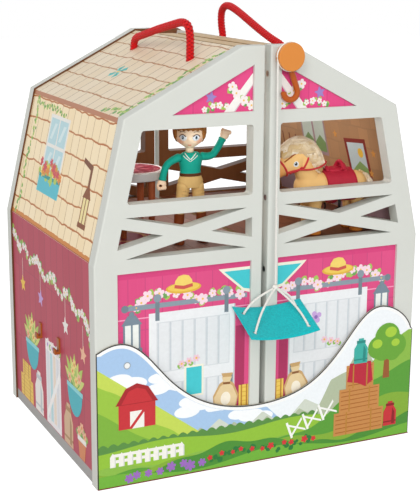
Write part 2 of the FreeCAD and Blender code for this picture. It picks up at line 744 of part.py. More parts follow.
def hoist_hook():
    """The J-shaped hook: a straight shank from the axle that runs on into a round bowl."""
    y_place = FRONT_Y - HOOK_STANDOFF - HOOK_EYE_THICKNESS * HALF
    distance = math.hypot(HOOK_BOWL_SHIFT, HOOK_BOWL_DROP)
    lean = math.atan2(HOOK_BOWL_SHIFT, HOOK_BOWL_DROP) + math.asin(HOOK_BOWL_RADIUS / distance)
    end_turn = math.radians(HOOK_TIP_TURN)

    def on_bowl(turn):
        x = WINCH_X + HOOK_BOWL_SHIFT + HOOK_BOWL_RADIUS * math.cos(turn)
        return VECTOR(x, y_place, WINCH_Z - HOOK_BOWL_DROP + HOOK_BOWL_RADIUS * math.sin(turn))

    start = VECTOR(WINCH_X, y_place, WINCH_Z)
    tangent = on_bowl(lean)
    bottom = on_bowl((lean - math.pi - end_turn) * HALF)
    tip = on_bowl(-math.pi - end_turn)
    path = Part.Wire([Part.LineSegment(start, tangent).toShape(), Part.Arc(tangent, bottom, tip).toShape()])
    ring = Part.Wire([Part.Circle(start, tangent - start, HOOK_ROD_RADIUS).toShape()])
    bent = path.makePipeShell([ring], True, False)
    eye_back = (WINCH_X, FRONT_Y - HOOK_STANDOFF, WINCH_Z)
    eye_front = (WINCH_X, FRONT_Y - HOOK_STANDOFF - HOOK_EYE_THICKNESS, WINCH_Z)
    hook = fused([bent, rod(HOOK_EYE_RADIUS, eye_back, eye_front)])
    bore_back = (WINCH_X, FRONT_Y, WINCH_Z)
    bore_front = (WINCH_X, eye_front[1] - OVERRUN, WINCH_Z)
    hook = hook.cut(rod(AXLE_RADIUS + HOOK_EYE_FIT, bore_back, bore_front))
    near = HOOK_ROD_RADIUS + HALF * HOOK_ROD_RADIUS
    end = [e for e in hook.Edges if all((v.Point - tip).Length < near for v in e.Vertexes)]
    return hook.makeFillet(HOOK_END_ROUND, end)


def sling_point(x, back_share):
    """A point of the sling's middle surface, from its back edge (0) to its front edge (1)."""
    half = SLING_WIDTH * HALF
    sag = SLING_SAG * (1 - (x / half) ** 2)
    reach = SLING_BACK + (SLING_FRONT - SLING_BACK) * back_share
    height = SLING_BACK_HEIGHT - SLING_DROP * back_share - sag
    return (x, FRONT_Y - reach, height)


def felt_sling():
    """A sheet of felt that sags in the middle and hangs lower at the front, with four holes."""
    half = SLING_WIDTH * HALF
    thick = SLING_THICKNESS * HALF
    rows = []
    for rise in (thick, -thick):
        left, middle, right = [VECTOR(*sling_point(x, 0)) for x in (-half, 0, half)]
        lift = VECTOR(0, 0, rise)
        rows.append((left + lift, middle + lift, right + lift))
    upper, lower = rows
    ring = Part.Wire(
        [
            Part.Arc(*upper).toShape(),
            Part.LineSegment(upper[2], lower[2]).toShape(),
            Part.Arc(lower[2], lower[1], lower[0]).toShape(),
            Part.LineSegment(lower[0], upper[0]).toShape(),
        ]
    )
    sheet = Part.Face(ring).extrude(VECTOR(0, SLING_BACK - SLING_FRONT, -SLING_DROP))
    for place in sling_holes():
        low = (place[0], place[1], place[2] - SLING_SAG - SLING_THICKNESS)
        high = (place[0], place[1], place[2] + SLING_SAG + SLING_THICKNESS)
        sheet = sheet.cut(rod(SLING_HOLE_RADIUS, low, high))
    return sheet


def sling_holes():
    """The middles of the sling's four corner holes."""
    x_place = SLING_WIDTH * HALF - SLING_HOLE_INSET
    share = SLING_HOLE_INSET / (SLING_FRONT - SLING_BACK)
    return [sling_point(x, s) for x in (-x_place, x_place) for s in (share, 1 - share)]


def gather_centre():
    """The middle of the knot that gathers the sling's cords."""
    return (GATHER_X, FRONT_Y - GATHER_REACH, GATHER_Z)


def sling_cords():
    """Four short cords from the gathering knot to the sling's holes."""
    centre = VECTOR(*gather_centre())
    cords = []
    for index, place in enumerate(sling_holes()):
        hole = VECTOR(*place)
        along = (hole - centre).normalize()
        start = centre + along * (GATHER_RADIUS + CORD_SEAT_CLEARANCE)
        middle = (start + hole) * HALF + VECTOR(0, 0, CORD_DIAMETER)
        route = [tuple(start), tuple(middle), tuple(hole)]
        cords.append(cord_tube("sling cord %d" % index, route, CORD_DIAMETER))
    return Part.makeCompound(cords)


def hoist_cord():
    """The cord from the drum's left side down to the gathering knot."""
    seat = DRUM_GROOVE_RADIUS + CORD_SEAT_CLEARANCE + CORD_DIAMETER * HALF
    top_y = WINCH_DRUM_Y - DRUM_FLANGE - DRUM_GROOVE_WIDTH * HALF
    centre = gather_centre()
    top = (WINCH_X - seat, top_y, WINCH_Z)
    low = (centre[0], centre[1], centre[2] + GATHER_RADIUS + CORD_SEAT_CLEARANCE)
    return rod(CORD_DIAMETER * HALF, low, top)


def display_card():
    """The printed card that stands in front of the doors, with a hilly upper edge."""
    low = FRONT_Y - CARD_GAP - CARD_THICKNESS
    points = [VECTOR(BODY_WIDTH * across, low, CARD_TOP * up) for across, up in CARD_OUTLINE_shares]
    crest = Part.BSplineCurve()
    crest.interpolate(points)
    right_foot = VECTOR(points[-1].x, low, CARD_FLOOR_GAP)
    left_foot = VECTOR(points[0].x, low, CARD_FLOOR_GAP)
    ring = Part.Wire(
        [
            crest.toShape(),
            Part.LineSegment(points[-1], right_foot).toShape(),
            Part.LineSegment(right_foot, left_foot).toShape(),
            Part.LineSegment(left_foot, points[0]).toShape(),
        ]
    )
    return Part.Face(ring).extrude(VECTOR(0, CARD_THICKNESS, 0))


def level_ellipse(centre, half_x, half_y):
    """A closed ellipse at one height."""
    if half_x >= half_y:
        curve = Part.Ellipse(VECTOR(*centre), half_x, half_y)
    else:
        curve = Part.Ellipse(VECTOR(*centre), half_y, half_x)
        curve.rotate(FreeCAD.Placement(VECTOR(*centre), FreeCAD.Rotation(VECTOR(0, 0, 1), QUARTER_TURN)))
    return Part.Wire([curve.toShape()])


def figure_place(x, y, z):
    """A point of the doll, from its middle and the height above its soles."""
    return (DOLL_X + x, FRONT_Y + DOLL_Y + y, FLOOR_TOP + STANDING_GAP + z)


def stacked(sections):
    """A body lofted through ellipses given as height, half width and half depth."""
    wires = [level_ellipse(figure_place(0, 0, z), half_x, half_y) for z, half_x, half_y in sections]
    return Part.makeLoft(wires, True, False)


def doll_head():
    """The head and neck."""
    sizes = (DOLL_HEAD_HALF_WIDTH, DOLL_HEAD_HALF_DEPTH, DOLL_HEAD_HALF_HEIGHT)
    skull = ellipsoid(sizes, figure_place(0, 0, DOLL_HEAD_HEIGHT))
    neck_bottom = figure_place(0, 0, DOLL_NECK_BOTTOM)
    return fused([skull, rod(DOLL_NECK_RADIUS, neck_bottom, figure_place(0, 0, DOLL_HEAD_HEIGHT))])


def doll_hair():
    """The cap of hair, open at the face and short at the back."""
    sizes = (
        DOLL_HEAD_HALF_WIDTH + DOLL_HAIR_THICKNESS,
        DOLL_HEAD_HALF_DEPTH + DOLL_HAIR_THICKNESS,
        DOLL_HEAD_HALF_HEIGHT + DOLL_HAIR_THICKNESS,
    )
    cap = ellipsoid(sizes, figure_place(0, 0, DOLL_HEAD_HEIGHT))
    reach = DOLL_HEAD_HALF_WIDTH + OVERRUN
    low = figure_place(-reach, -reach, 0)
    high = figure_place(reach, -DOLL_FRINGE_DEPTH, DOLL_HAIR_LINE)
    cap = cap.cut(block(low[0], high[0], low[1], high[1], low[2], high[2]))
    back_high = figure_place(reach, reach, DOLL_HAIR_BACK)
    cap = cap.cut(block(low[0], back_high[0], low[1], back_high[1], low[2], back_high[2]))
    return cap.cut(doll_head())


def shoulder_socket(sign):
    """The hollow in the sweater around a shoulder."""
    return ball(DOLL_SHOULDER_RADIUS + DOLL_JOINT_GAP, figure_place(sign * DOLL_SHOULDER_X, 0, DOLL_SHOULDER_Z))


def doll_sweater():
    """The chest, hollowed at the shoulders and round the neck."""
    chest = stacked(DOLL_TORSO_SECTIONS)
    for sign in (-1, 1):
        chest = chest.cut(shoulder_socket(sign))
    return chest


def doll_belt():
    """The belt between sweater and trousers."""
    low_z = DOLL_PELVIS_SECTIONS[-1][0]
    half_x = DOLL_TORSO_SECTIONS[0][1] + DOLL_BELT_PROUD
    half_y = DOLL_TORSO_SECTIONS[0][2] + DOLL_BELT_PROUD
    wires = [level_ellipse(figure_place(0, 0, z), half_x, half_y) for z in (low_z, low_z + DOLL_BELT_HEIGHT)]
    return Part.makeLoft(wires, True, True)


def doll_pelvis():
    """The trousers' seat, hollowed for the legs' round tops."""
    seat = stacked(DOLL_PELVIS_SECTIONS)
    for sign in (-1, 1):
        socket = ball(DOLL_HIP_RADIUS + DOLL_JOINT_GAP, figure_place(sign * DOLL_HIP_X, 0, DOLL_HIP_Z))
        seat = seat.cut(socket)
    return seat


def doll_leg(sign):
    """A trouser leg with its round top, cut clear of the other leg."""
    x_place = sign * DOLL_HIP_X
    wires = [
        level_ellipse(figure_place(x_place, 0, z), radius, radius) for z, radius in DOLL_LEG_SECTIONS
    ]
    return fused([Part.makeLoft(wires, True, False), ball(DOLL_HIP_RADIUS, figure_place(x_place, 0, DOLL_HIP_Z))])


def doll_boot(sign):
    """A boot with a straight shaft and a rounded foot with a flat sole."""
    x_place = sign * DOLL_HIP_X
    shaft = rod(
        DOLL_BOOT_SHAFT_RADIUS,
        figure_place(x_place, 0, DOLL_BOOT_ANKLE),
        figure_place(x_place, 0, DOLL_BOOT_TOP),
    )
    sizes = (DOLL_FOOT_HALF_WIDTH, DOLL_FOOT_HALF_LENGTH, DOLL_FOOT_HEIGHT)
    foot = ellipsoid(sizes, figure_place(x_place, -DOLL_FOOT_FORWARD, 0))
    reach = DOLL_FOOT_HALF_LENGTH + DOLL_FOOT_FORWARD + OVERRUN
    low = figure_place(x_place - reach, -reach, -reach)
    high = figure_place(x_place + reach, reach, 0)
    foot = foot.cut(block(low[0], high[0], low[1], high[1], low[2], high[2]))
    return fused([shaft, foot])


def doll_sleeve(places):
    """A bent sleeve from the shoulder ball to the cuff, through circles square to the arm."""
    points = [VECTOR(*figure_place(x, 0, z)) for x, z in places]
    wires = []
    for index, point in enumerate(points):
        along = points[min(index + 1, len(points) - 1)] - points[max(index - 1, 0)]
        wires.append(Part.Wire([Part.Circle(point, along, DOLL_SLEEVE_RADIUS).toShape()]))
    arm = Part.makeLoft(wires, True, False)
    shoulder = Part.makeSphere(DOLL_SHOULDER_RADIUS, points[0], VECTOR(0, 1, 0))
    return fused([arm, shoulder])


def doll_hand(places):
    """A rounded hand on the end of a sleeve."""
    (x_before, z_before), (x_end, z_end) = places[-2:]
    length = math.hypot(x_end - x_before, z_end - z_before)
    along = ((x_end - x_before) / length, (z_end - z_before) / length)
    reach, behind = DOLL_HAND_REACH, DOLL_HAND_RADIUS
    centre = figure_place(x_end + along[0] * reach, 0, z_end + along[1] * reach)
    back = figure_place(x_end - along[0] * behind, 0, z_end - along[1] * behind)
    cuff = figure_place(x_end, 0, z_end)
    hand = ball(DOLL_HAND_RADIUS, centre)
    return hand.cut(rod(DOLL_HAND_RADIUS + OVERRUN, back, cuff))


def pony_place(x, y, z):
    """A point of the pony, from the middle of its back and the height above its hooves."""
    return (PONY_X + x, FRONT_Y + PONY_Y + y, FLOOR_TOP + STANDING_GAP + z)


def pony_tube(sections, y_place=0):
    """A limb lofted through circles given as X, Z and radius, each square to the line of centres."""
    points = [VECTOR(*pony_place(x, y_place, z)) for x, z, _ in sections]
    wires = []
    for index, (point, section) in enumerate(zip(points, sections)):
        along = points[min(index + 1, len(points) - 1)] - points[max(index - 1, 0)]
        wires.append(Part.Wire([Part.Circle(point, along, section[2]).toShape()]))
    return Part.makeLoft(wires, True, False)


def pony_ball(section):
    """A sphere that rounds the end of a limb."""
    return ball(section[2], pony_place(section[0], 0, section[1]))


def pony_body():
    """The pony's barrel, neck, head, ears and legs."""
    pieces = [
        pony_tube(PONY_BARREL),
        pony_ball(PONY_BARREL[0]),
        pony_ball(PONY_BARREL[-1]),
        pony_tube(PONY_NECK),
        pony_tube(PONY_HEAD),
        pony_ball(PONY_HEAD[0]),
        pony_ball(PONY_HEAD[-1]),
    ]
    for sign in (-1, 1):
        foot = VECTOR(*pony_place(PONY_EAR_PLACE[0], sign * PONY_EAR_SPREAD, PONY_EAR_PLACE[1]))
        pieces.append(Part.makeCone(PONY_EAR_RADIUS, 0, PONY_EAR_HEIGHT, foot, VECTOR(0, 0, 1)))
        for x_place in PONY_LEG_PLACES:
            wires = []
            for z, radius in PONY_LEG_SECTIONS:
                centre = VECTOR(*pony_place(x_place, sign * PONY_LEG_SPREAD, z))
                wires.append(Part.Wire([Part.Circle(centre, VECTOR(0, 0, 1), radius).toShape()]))
            pieces.append(Part.makeLoft(wires, True, False))
    return fused(pieces)


def pony_hooves():
    """Four hooves, wider at the ground."""
    hooves = []
    for sign in (-1, 1):
        for x_place in PONY_LEG_PLACES:
            foot = VECTOR(*pony_place(x_place, sign * PONY_LEG_SPREAD, 0))
            hooves.append(
                Part.makeCone(PONY_HOOF_RADIUS, PONY_HOOF_TOP_RADIUS, PONY_HOOF_HEIGHT, foot, VECTOR(0, 0, 1))
            )
    return Part.makeCompound(hooves)


def pony_saddle(body):
    """The saddle cloth over the back, with a raised cantle."""
    start = pony_place(SADDLE_FRONT, 0, SADDLE_CENTRE_Z)
    end = pony_place(SADDLE_FRONT + SADDLE_LENGTH, 0, SADDLE_CENTRE_Z)
    cloth = rod(SADDLE_RADIUS, start, end)
    cantle_x = SADDLE_FRONT + SADDLE_LENGTH - CANTLE_INSET - CANTLE_THICKNESS
    cantle_back = pony_place(cantle_x + CANTLE_THICKNESS, 0, SADDLE_CENTRE_Z + CANTLE_RISE)
    cantle = rod(CANTLE_RADIUS, pony_place(cantle_x, 0, SADDLE_CENTRE_Z + CANTLE_RISE), cantle_back)
    saddle = fused([cloth, cantle])
    low = pony_place(SADDLE_FRONT - OVERRUN, -SADDLE_RADIUS - OVERRUN, 0)
    high = pony_place(SADDLE_FRONT + SADDLE_LENGTH + OVERRUN, SADDLE_RADIUS + OVERRUN, SADDLE_SKIRT_Z)
    saddle = saddle.cut(block(low[0], high[0], low[1], high[1], low[2], high[2]))
    return saddle.cut(body)


def pony_bridle(body, mane):
    """The noseband and the reins, which meet over the withers."""
    band_x, band_z = NOSEBAND_PLACE
    ahead = VECTOR(PONY_HEAD[-1][0] - PONY_HEAD[0][0], 0, PONY_HEAD[-1][1] - PONY_HEAD[0][1])
    band = Part.makeTorus(NOSEBAND_RADIUS, REIN_DIAMETER * HALF, VECTOR(*pony_place(band_x, 0, band_z)), ahead)
    pieces = [band]
    for sign in (-1, 1):
        route = [
            pony_place(band_x, sign * NOSEBAND_RADIUS, band_z),
            pony_place(REIN_MIDDLE[0], sign * REIN_SPREAD, REIN_MIDDLE[1]),
            pony_place(REIN_MEET[0], 0, REIN_MEET[1]),
        ]
        pieces.append(cord_tube("rein", route, REIN_DIAMETER))
    return fused(pieces).cut(body).cut(mane)


def pony_stirrups():
    """A stirrup ring on a short strap at each side."""
    x_place, z_place = STIRRUP_PLACE
    out = SADDLE_RADIUS + STANDING_GAP
    pieces = []
    for sign in (-1, 1):
        centre = VECTOR(*pony_place(x_place, sign * (out + STIRRUP_STRAP_THICKNESS * HALF), z_place))
        ring = Part.makeTorus(STIRRUP_RADIUS, STIRRUP_WIRE, centre, VECTOR(0, 1, 0))
        low = min(sign * out, sign * (out + STIRRUP_STRAP_THICKNESS))
        strap_low = pony_place(x_place - STIRRUP_STRAP_WIDTH * HALF, low, z_place + STIRRUP_RADIUS)
        strap_high = pony_place(
            x_place + STIRRUP_STRAP_WIDTH * HALF, low + STIRRUP_STRAP_THICKNESS, SADDLE_CENTRE_Z
        )
        strap = block(strap_low[0], strap_high[0], strap_low[1], strap_high[1], strap_low[2], strap_high[2])
        pieces.append(fused([ring, strap]))
    return Part.makeCompound(pieces)


def table_place(x, y, z):
    """A point of the table, from its middle and the height above the floor."""
    return (TABLE_X + x, FRONT_Y + TABLE_Y + y, FLOOR_TOP + STANDING_GAP + z)


def table_top():
    """The round table top with a softened rim."""
    under = table_place(0, 0, TABLE_HEIGHT - TABLE_TOP_THICKNESS)
    disc = rod(TABLE_RADIUS, under, table_place(0, 0, TABLE_HEIGHT))
    rims = [e for e in disc.Edges if e.Length > TABLE_RADIUS + TABLE_RADIUS]
    return disc.makeFillet(TABLE_EDGE_ROUND, rims)


def table_legs():
    """Tapered legs under the table top."""
    legs = []
    for index in range(TABLE_LEG_COUNT):
        turn = math.radians(FULL_TURN * (index + HALF) / TABLE_LEG_COUNT)
        x_place = TABLE_LEG_CIRCLE * math.cos(turn)
        y_place = TABLE_LEG_CIRCLE * math.sin(turn)
        foot = VECTOR(*table_place(x_place, y_place, 0))
        height = TABLE_HEIGHT - TABLE_TOP_THICKNESS
        legs.append(Part.makeCone(TABLE_LEG_FOOT_RADIUS, TABLE_LEG_TOP_RADIUS, height, foot, VECTOR(0, 0, 1)))
    return Part.makeCompound(legs)


# The handles' routes as X from the holes, Y from the front face, and Z from the ridge, chosen by hand
RIGHT_ROPE_ROUTE = (
    (0.0, 215.0, -6.0),
    (-2.5, 214.0, 12.0),
    (-3.5, 206.0, 28.0),
    (-4.0, 190.0, 34.0),
    (-4.0, 168.0, 29.0),
    (-3.5, 131.0, 15.5),
    (-2.5, 96.0, 1.5),
    (0.0, 63.0, -9.0),
)
LEFT_ROPE_ROUTE = (
    (0.0, 215.0, -10.0),
    (2.0, 200.0, -3.5),
    (3.0, 176.0, 1.0),
    (4.0, 138.0, 10.0),
    (4.0, 100.0, 16.5),
    (3.5, 76.0, 22.0),
    (2.5, 63.5, 19.0),
    (1.5, 61.0, 4.0),
    (0.0, 63.0, -10.0),
)


def half_boards(side):
    """The boards that both halves share, by node name."""
    boards = {
        "rear_frame": end_frame(True),
        "side_wall": side_wall(),
        "steep_roof": roof_board(2),
        "shallow_roof": shallow_roof(),
        "ridge_board": ridge_board(),
        "base_board": base_board(),
        "upper_floor": upper_floor(),
        "gable_panel": end_panel(gable_opening(), False),
        "door_panel": end_panel(door_opening(), False),
        "rear_panels": Part.makeCompound([end_panel(o, True) for o in (gable_opening(), door_opening())]),
        "magnets": magnets(),
    }
    return {side + "_" + name: mirrored(board, side) for name, board in boards.items()}


def main():
    """Build every node and write its STEP file."""
    nodes = {}
    for side, sign, route in (("right", 1, RIGHT_ROPE_ROUTE), ("left", -1, LEFT_ROPE_ROUTE)):
        nodes.update(half_boards(side))
        nodes[side + "_front_frame"] = front_frame(side)
        nodes[side + "_hinge_leaves"] = hinge_leaves(side)
        nodes[side + "_hinge_screws"] = hinge_screws(side)
        nodes[side + "_rope_handle"] = rope_handle(side + " rope", sign, route)
        nodes[side + "_rope_knots"] = rope_knots(sign)
    nodes["hinge_pins"] = hinge_pins()
    nodes["wall_hooks"] = wall_hooks()
    nodes["winch_axle"] = winch_axle()
    nodes["winch_drum"] = Part.makeCompound([winch_drum(), winch_cap()])
    nodes["hoist_hook"] = hoist_hook()
    nodes["hoist_cord"] = hoist_cord()
    nodes["gather_knot"] = ball(GATHER_RADIUS, gather_centre())
    nodes["sling_cords"] = sling_cords()
    nodes["felt_sling"] = felt_sling()
    nodes["display_card"] = display_card()
    nodes["doll_head"] = doll_head()
    nodes["doll_hair"] = doll_hair()
    nodes["doll_sweater"] = doll_sweater()
    nodes["doll_belt"] = doll_belt()
    nodes["doll_pelvis"] = doll_pelvis()
    for side, sign, sleeve in (("left", 1, DOLL_LEFT_SLEEVE), ("right", -1, DOLL_RIGHT_SLEEVE)):
        arm = [doll_sleeve(sleeve), doll_hand(sleeve)]
        nodes["doll_%s_arm" % side] = Part.makeCompound(arm)
        nodes["doll_%s_leg" % side] = fused([doll_leg(sign), doll_boot(sign)])
    pony = pony_body()
    nodes["pony_body"] = fused([pony, pony_hooves()])
    mane = pony_tube(PONY_MANE).cut(pony)
    nodes["pony_mane"] = mane
    nodes["pony_tail"] = pony_tube(PONY_TAIL).cut(pony)
    nodes["pony_saddle"] = pony_saddle(pony)
    nodes["pony_bridle"] = pony_bridle(pony, mane)
    nodes["pony_stirrups"] = pony_stirrups()
    nodes["table_top"] = table_top()
    nodes["table_legs"] = table_legs()
    os.makedirs("parts", exist_ok=True)
    for node, shape in nodes.items():
        if not shape.isValid() or shape.Volume <= 0:
            print("CHECK", node, shape.isValid(), shape.Volume)
        shape.exportStep("parts/%s.step" % node)
    print(len(nodes), "nodes")


main()
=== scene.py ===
"""Looks of the toy horse ranch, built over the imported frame.

Lengths in the classes are millimetres and are turned to metres where a mesh is made. +X is the
right half, -Y the front and +Z up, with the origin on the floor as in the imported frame.
"""

from __future__ import annotations

import json
import logging
import math
import random
from dataclasses import dataclass, field
from enum import Enum
from typing import Callable, Iterable, Sequence

import bmesh
import bpy
import numpy as np
from bpy.types import ID, Material, Mesh, Node, NodeSocket, NodeTree, Object, World
from mathutils import Matrix, Vector
from mathutils.bvhtree import BVHTree
from mathutils.geometry import tessellate_polygon

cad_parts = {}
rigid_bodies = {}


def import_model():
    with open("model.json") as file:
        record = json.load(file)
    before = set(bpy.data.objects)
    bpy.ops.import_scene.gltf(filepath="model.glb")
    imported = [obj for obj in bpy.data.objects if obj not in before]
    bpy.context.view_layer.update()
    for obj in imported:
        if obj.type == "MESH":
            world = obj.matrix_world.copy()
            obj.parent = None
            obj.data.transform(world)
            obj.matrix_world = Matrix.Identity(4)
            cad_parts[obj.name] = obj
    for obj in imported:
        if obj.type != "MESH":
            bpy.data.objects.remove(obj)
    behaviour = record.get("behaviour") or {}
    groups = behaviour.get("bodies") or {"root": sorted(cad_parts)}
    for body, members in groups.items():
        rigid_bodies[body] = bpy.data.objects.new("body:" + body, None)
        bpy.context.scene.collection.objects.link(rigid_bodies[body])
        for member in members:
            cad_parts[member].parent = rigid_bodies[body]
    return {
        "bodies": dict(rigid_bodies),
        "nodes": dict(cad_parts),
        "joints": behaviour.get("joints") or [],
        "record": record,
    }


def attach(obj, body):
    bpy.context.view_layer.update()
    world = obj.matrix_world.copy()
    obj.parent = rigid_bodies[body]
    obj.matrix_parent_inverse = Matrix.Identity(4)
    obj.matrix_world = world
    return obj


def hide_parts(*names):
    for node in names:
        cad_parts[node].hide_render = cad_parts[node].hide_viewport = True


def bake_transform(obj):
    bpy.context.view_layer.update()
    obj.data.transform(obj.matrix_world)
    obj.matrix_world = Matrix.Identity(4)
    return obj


log = logging.getLogger("ranch")

MM = 0.001
# The barn's faces, its upper floor, where the figures stand, and the feet and slopes of its walls and roofs.
FRONT_Y = -127.3
REAR_Y = 168.7
FRONT_INSIDE = -112.3
REAR_INSIDE = 153.7
PANEL_Y = -124.3
REAR_PANEL_Y = 165.7
FLOOR_TOP = 230.0
STANDING_Z = 230.3
WALL_X = 180.0
STEEP_FOOT = 226.77
STEEP_UP = (0.2243, 0.9745)
SHALLOW_X = 148.26
SHALLOW_FOOT = 364.65
SHALLOW_UP = (0.8871, 0.4616)
# Colours that several prints share.
CREAM_WHITE = "F4F1EA"
GOLD = "F2C84B"
LEAF_GREEN = "8DBE5A"
LEAF_DARK = "6FA65A"
LEAF_YELLOW = "A6C75E"
POLLEN = "F0C25A"
PEACH = "F3BF9C"
LILAC = "C9A6DC"
IRON_GREY = "76868F"
SKY_TEAL = "46C8D0"
PETAL_WHITE = "F6EDEA"
BARN_RED = "C9343A"
# A point or direction in space, and one on a flat face.
Point = tuple[float, float, float]
Flat = tuple[float, float]


class Side(Enum):
    """The two halves of the barn."""

    LEFT = -1
    RIGHT = 1

    @property
    def word(self) -> str:
        """The side's name as the nodes spell it."""
        return self.name.lower()

    @property
    def body(self) -> str:
        """The CAD body that the half is."""
        return self.word + "_half"


# Helpers


def linear(code: str) -> tuple[float, float, float, float]:
    """Turn an sRGB hex value to linear colour.

    Args:
        code: Six hex digits.

    Returns:
        Red, green, blue and alpha.
    """
    parts = [int(code[i : i + 2], 16) / 255 for i in (0, 2, 4)]
    turned = [c / 12.92 if c <= 0.04045 else ((c + 0.055) / 1.055) ** 2.4 for c in parts]
    return (turned[0], turned[1], turned[2], 1.0)


def add_node(tree: NodeTree, kind: str, inputs: dict | None = None, **settings: object) -> Node:
    """Add a node with its settings, values and links.

    Args:
        tree: The node tree.
        kind: The node's type name, where a shader node's is short, as in Math.
        inputs: Input name or number to a value, hex colour, socket, or node whose first output is meant.
        **settings: The node's own properties.

    Returns:
        The new node.
    """
    node = tree.nodes.new(kind if "Node" in kind else "ShaderNode" + kind)
    for name, value in settings.items():
        setattr(node, name, value)
    for key, value in (inputs or {}).items():
        if isinstance(value, Node):
            value = value.outputs[0]
        if isinstance(value, NodeSocket):
            tree.links.new(value, node.inputs[key])
            continue
        if isinstance(value, str) and node.inputs[key].type == "RGBA":
            value = linear(value)
        node.inputs[key].default_value = value
    return node


def linked(name: str, data: ID) -> Object:
    """Make an object of some data and put it in the scene.

    Args:
        name: The object's name.
        data: A mesh, curve, light or camera.

    Returns:
        The object.
    """
    obj = bpy.data.objects.new(name, data)
    bpy.context.scene.collection.objects.link(obj)
    return obj


def cleared_tree(owner: Material | World) -> NodeTree:
    """Turn nodes on and take the first ones away.

    Args:
        owner: A material or world.

    Returns:
        Its empty node tree.
    """
    owner.use_nodes = True
    owner.node_tree.nodes.clear()
    return owner.node_tree


def mesh_object(name: str, verts: Sequence[Sequence[float]], faces: Sequence[Sequence[int]]) -> Object:
    """Make a linked mesh object from points in millimetres.

    Args:
        name: The object's name.
        verts: Points.
        faces: Corner numbers of each face.

    Returns:
        The object, at the origin.
    """
    mesh = bpy.data.meshes.new(name)
    mesh.from_pydata([Vector(v) * MM for v in verts], [], [list(f) for f in faces])
    mesh.update()
    return linked(name, mesh)


def line_object(name: str, lines: Sequence[Sequence[Vector]]) -> Object:
    """Make an object of bare lines.

    Args:
        name: The object's name.
        lines: The points of each line, in millimetres.

    Returns:
        The object, at the origin.
    """
    verts: list[Vector] = []
    edges: list[tuple[int, int]] = []
    for line in lines:
        start = len(verts)
        verts += [p * MM for p in line]
        edges += [(start + k, start + k + 1) for k in range(len(line) - 1)]
    mesh = bpy.data.meshes.new(name)
    mesh.from_pydata(verts, edges, [])
    return linked(name, mesh)


def search_tree(mesh: Mesh) -> BVHTree:
    """Make a tree that finds places on a mesh.

    Args:
        mesh: A mesh in metres.

    Returns:
        The tree.
    """
    bm = bmesh.new()
    bm.from_mesh(mesh)
    tree = BVHTree.FromBMesh(bm)
    bm.free()
    return tree


def tidy_normals(obj: Object, merge: float = 1e-5) -> None:
    """Merge doubles and point every face outwards.

    Args:
        obj: A mesh object.
        merge: Distance in metres under which points are one.
    """
    bm = bmesh.new()
    bm.from_mesh(obj.data)
    if merge:
        bmesh.ops.remove_doubles(bm, verts=bm.verts, dist=merge)
    bmesh.ops.recalc_face_normals(bm, faces=bm.faces)
    bm.to_mesh(obj.data)
    bm.free()


def shade(obj: Object, smooth: bool = True) -> Object:
    """Set smooth or flat shading on all faces and return the object."""
    obj.data.polygons.foreach_set("use_smooth", [smooth] * len(obj.data.polygons))
    return obj


def modify(obj: Object, kind: str, **settings: object) -> Object:
    """Add a modifier, bake it into the mesh and remove it.

    Args:
        obj: A mesh object.
        kind: The modifier's type name.
        **settings: The modifier's properties.

    Returns:
        The same object with its new mesh.
    """
    modifier = obj.modifiers.new(kind.lower(), kind)
    for name, value in settings.items():
        setattr(modifier, name, value)
    graph = bpy.context.evaluated_depsgraph_get()
    baked = bpy.data.meshes.new_from_object(obj.evaluated_get(graph))
    obj.modifiers.clear()
    old, obj.data = obj.data, baked
    baked.name = obj.name
    bpy.data.meshes.remove(old)
    return obj


def join(name: str, parts: Sequence[Object]) -> Object:
    """Join mesh objects into one, keeping their materials and attributes.

    Args:
        name: The joined object's name.
        parts: Objects with baked meshes at the origin.

    Returns:
        The joined object.
    """
    first = parts[0]
    if len(parts) > 1:
        with bpy.context.temp_override(
            active_object=first, object=first, selected_objects=list(parts),
            selected_editable_objects=list(parts),
        ):
            bpy.ops.object.join()
    first.name = name
    first.data.name = name
    return first


def ball(name: str, centre: Sequence[float], half_sizes: Point, detail: int = 24) -> Object:
    """Make an ellipsoid.

    Args:
        name: The object's name.
        centre: Its middle.
        half_sizes: Its half sizes along X, Y and Z.
        detail: Segments round it.

    Returns:
        The object.
    """
    bm = bmesh.new()
    bmesh.ops.create_uvsphere(bm, u_segments=detail, v_segments=detail * 2 // 3, radius=1)
    bmesh.ops.scale(bm, verts=bm.verts, vec=Vector(half_sizes) * MM)
    bmesh.ops.translate(bm, verts=bm.verts, vec=Vector(centre) * MM)
    mesh = bpy.data.meshes.new(name)
    bm.to_mesh(mesh)
    bm.free()
    return shade(linked(name, mesh))


def smooth_path(points: Sequence[Point], count: int) -> list[Vector]:
    """Read evenly spaced points from a smooth spline through control points.

    Args:
        points: Control points in millimetres.
        count: How many points to return.

    Returns:
        Points in millimetres.
    """
    curve = route_curve("path", points)
    graph = bpy.context.evaluated_depsgraph_get()
    mesh = bpy.data.meshes.new_from_object(curve.evaluated_get(graph))
    dense = np.array([v.co for v in mesh.vertices], float) / MM
    bpy.data.meshes.remove(mesh)
    bpy.data.objects.remove(curve)
    steps = np.concatenate([[0], np.cumsum(np.linalg.norm(np.diff(dense, axis=0), axis=1))])
    wanted = np.linspace(0, steps[-1], count)
    return [Vector([float(np.interp(w, steps, dense[:, k])) for k in range(3)]) for w in wanted]


def route_curve(name: str, points: Sequence[Point]) -> Object:
    """Make a smooth open curve with no bevel from a route in millimetres.

    Args:
        name: The object's name.
        points: Control points in millimetres.

    Returns:
        The curve object.
    """
    data = bpy.data.curves.new(name, "CURVE")
    data.dimensions = "3D"
    data.resolution_u = 24
    spline = data.splines.new("NURBS")
    spline.points.add(len(points) - 1)
    for place, point in zip(spline.points, points):
        place.co = (point[0] * MM, point[1] * MM, point[2] * MM, 1)
    spline.order_u = 3
    spline.use_endpoint_u = True
    return linked(name, data)


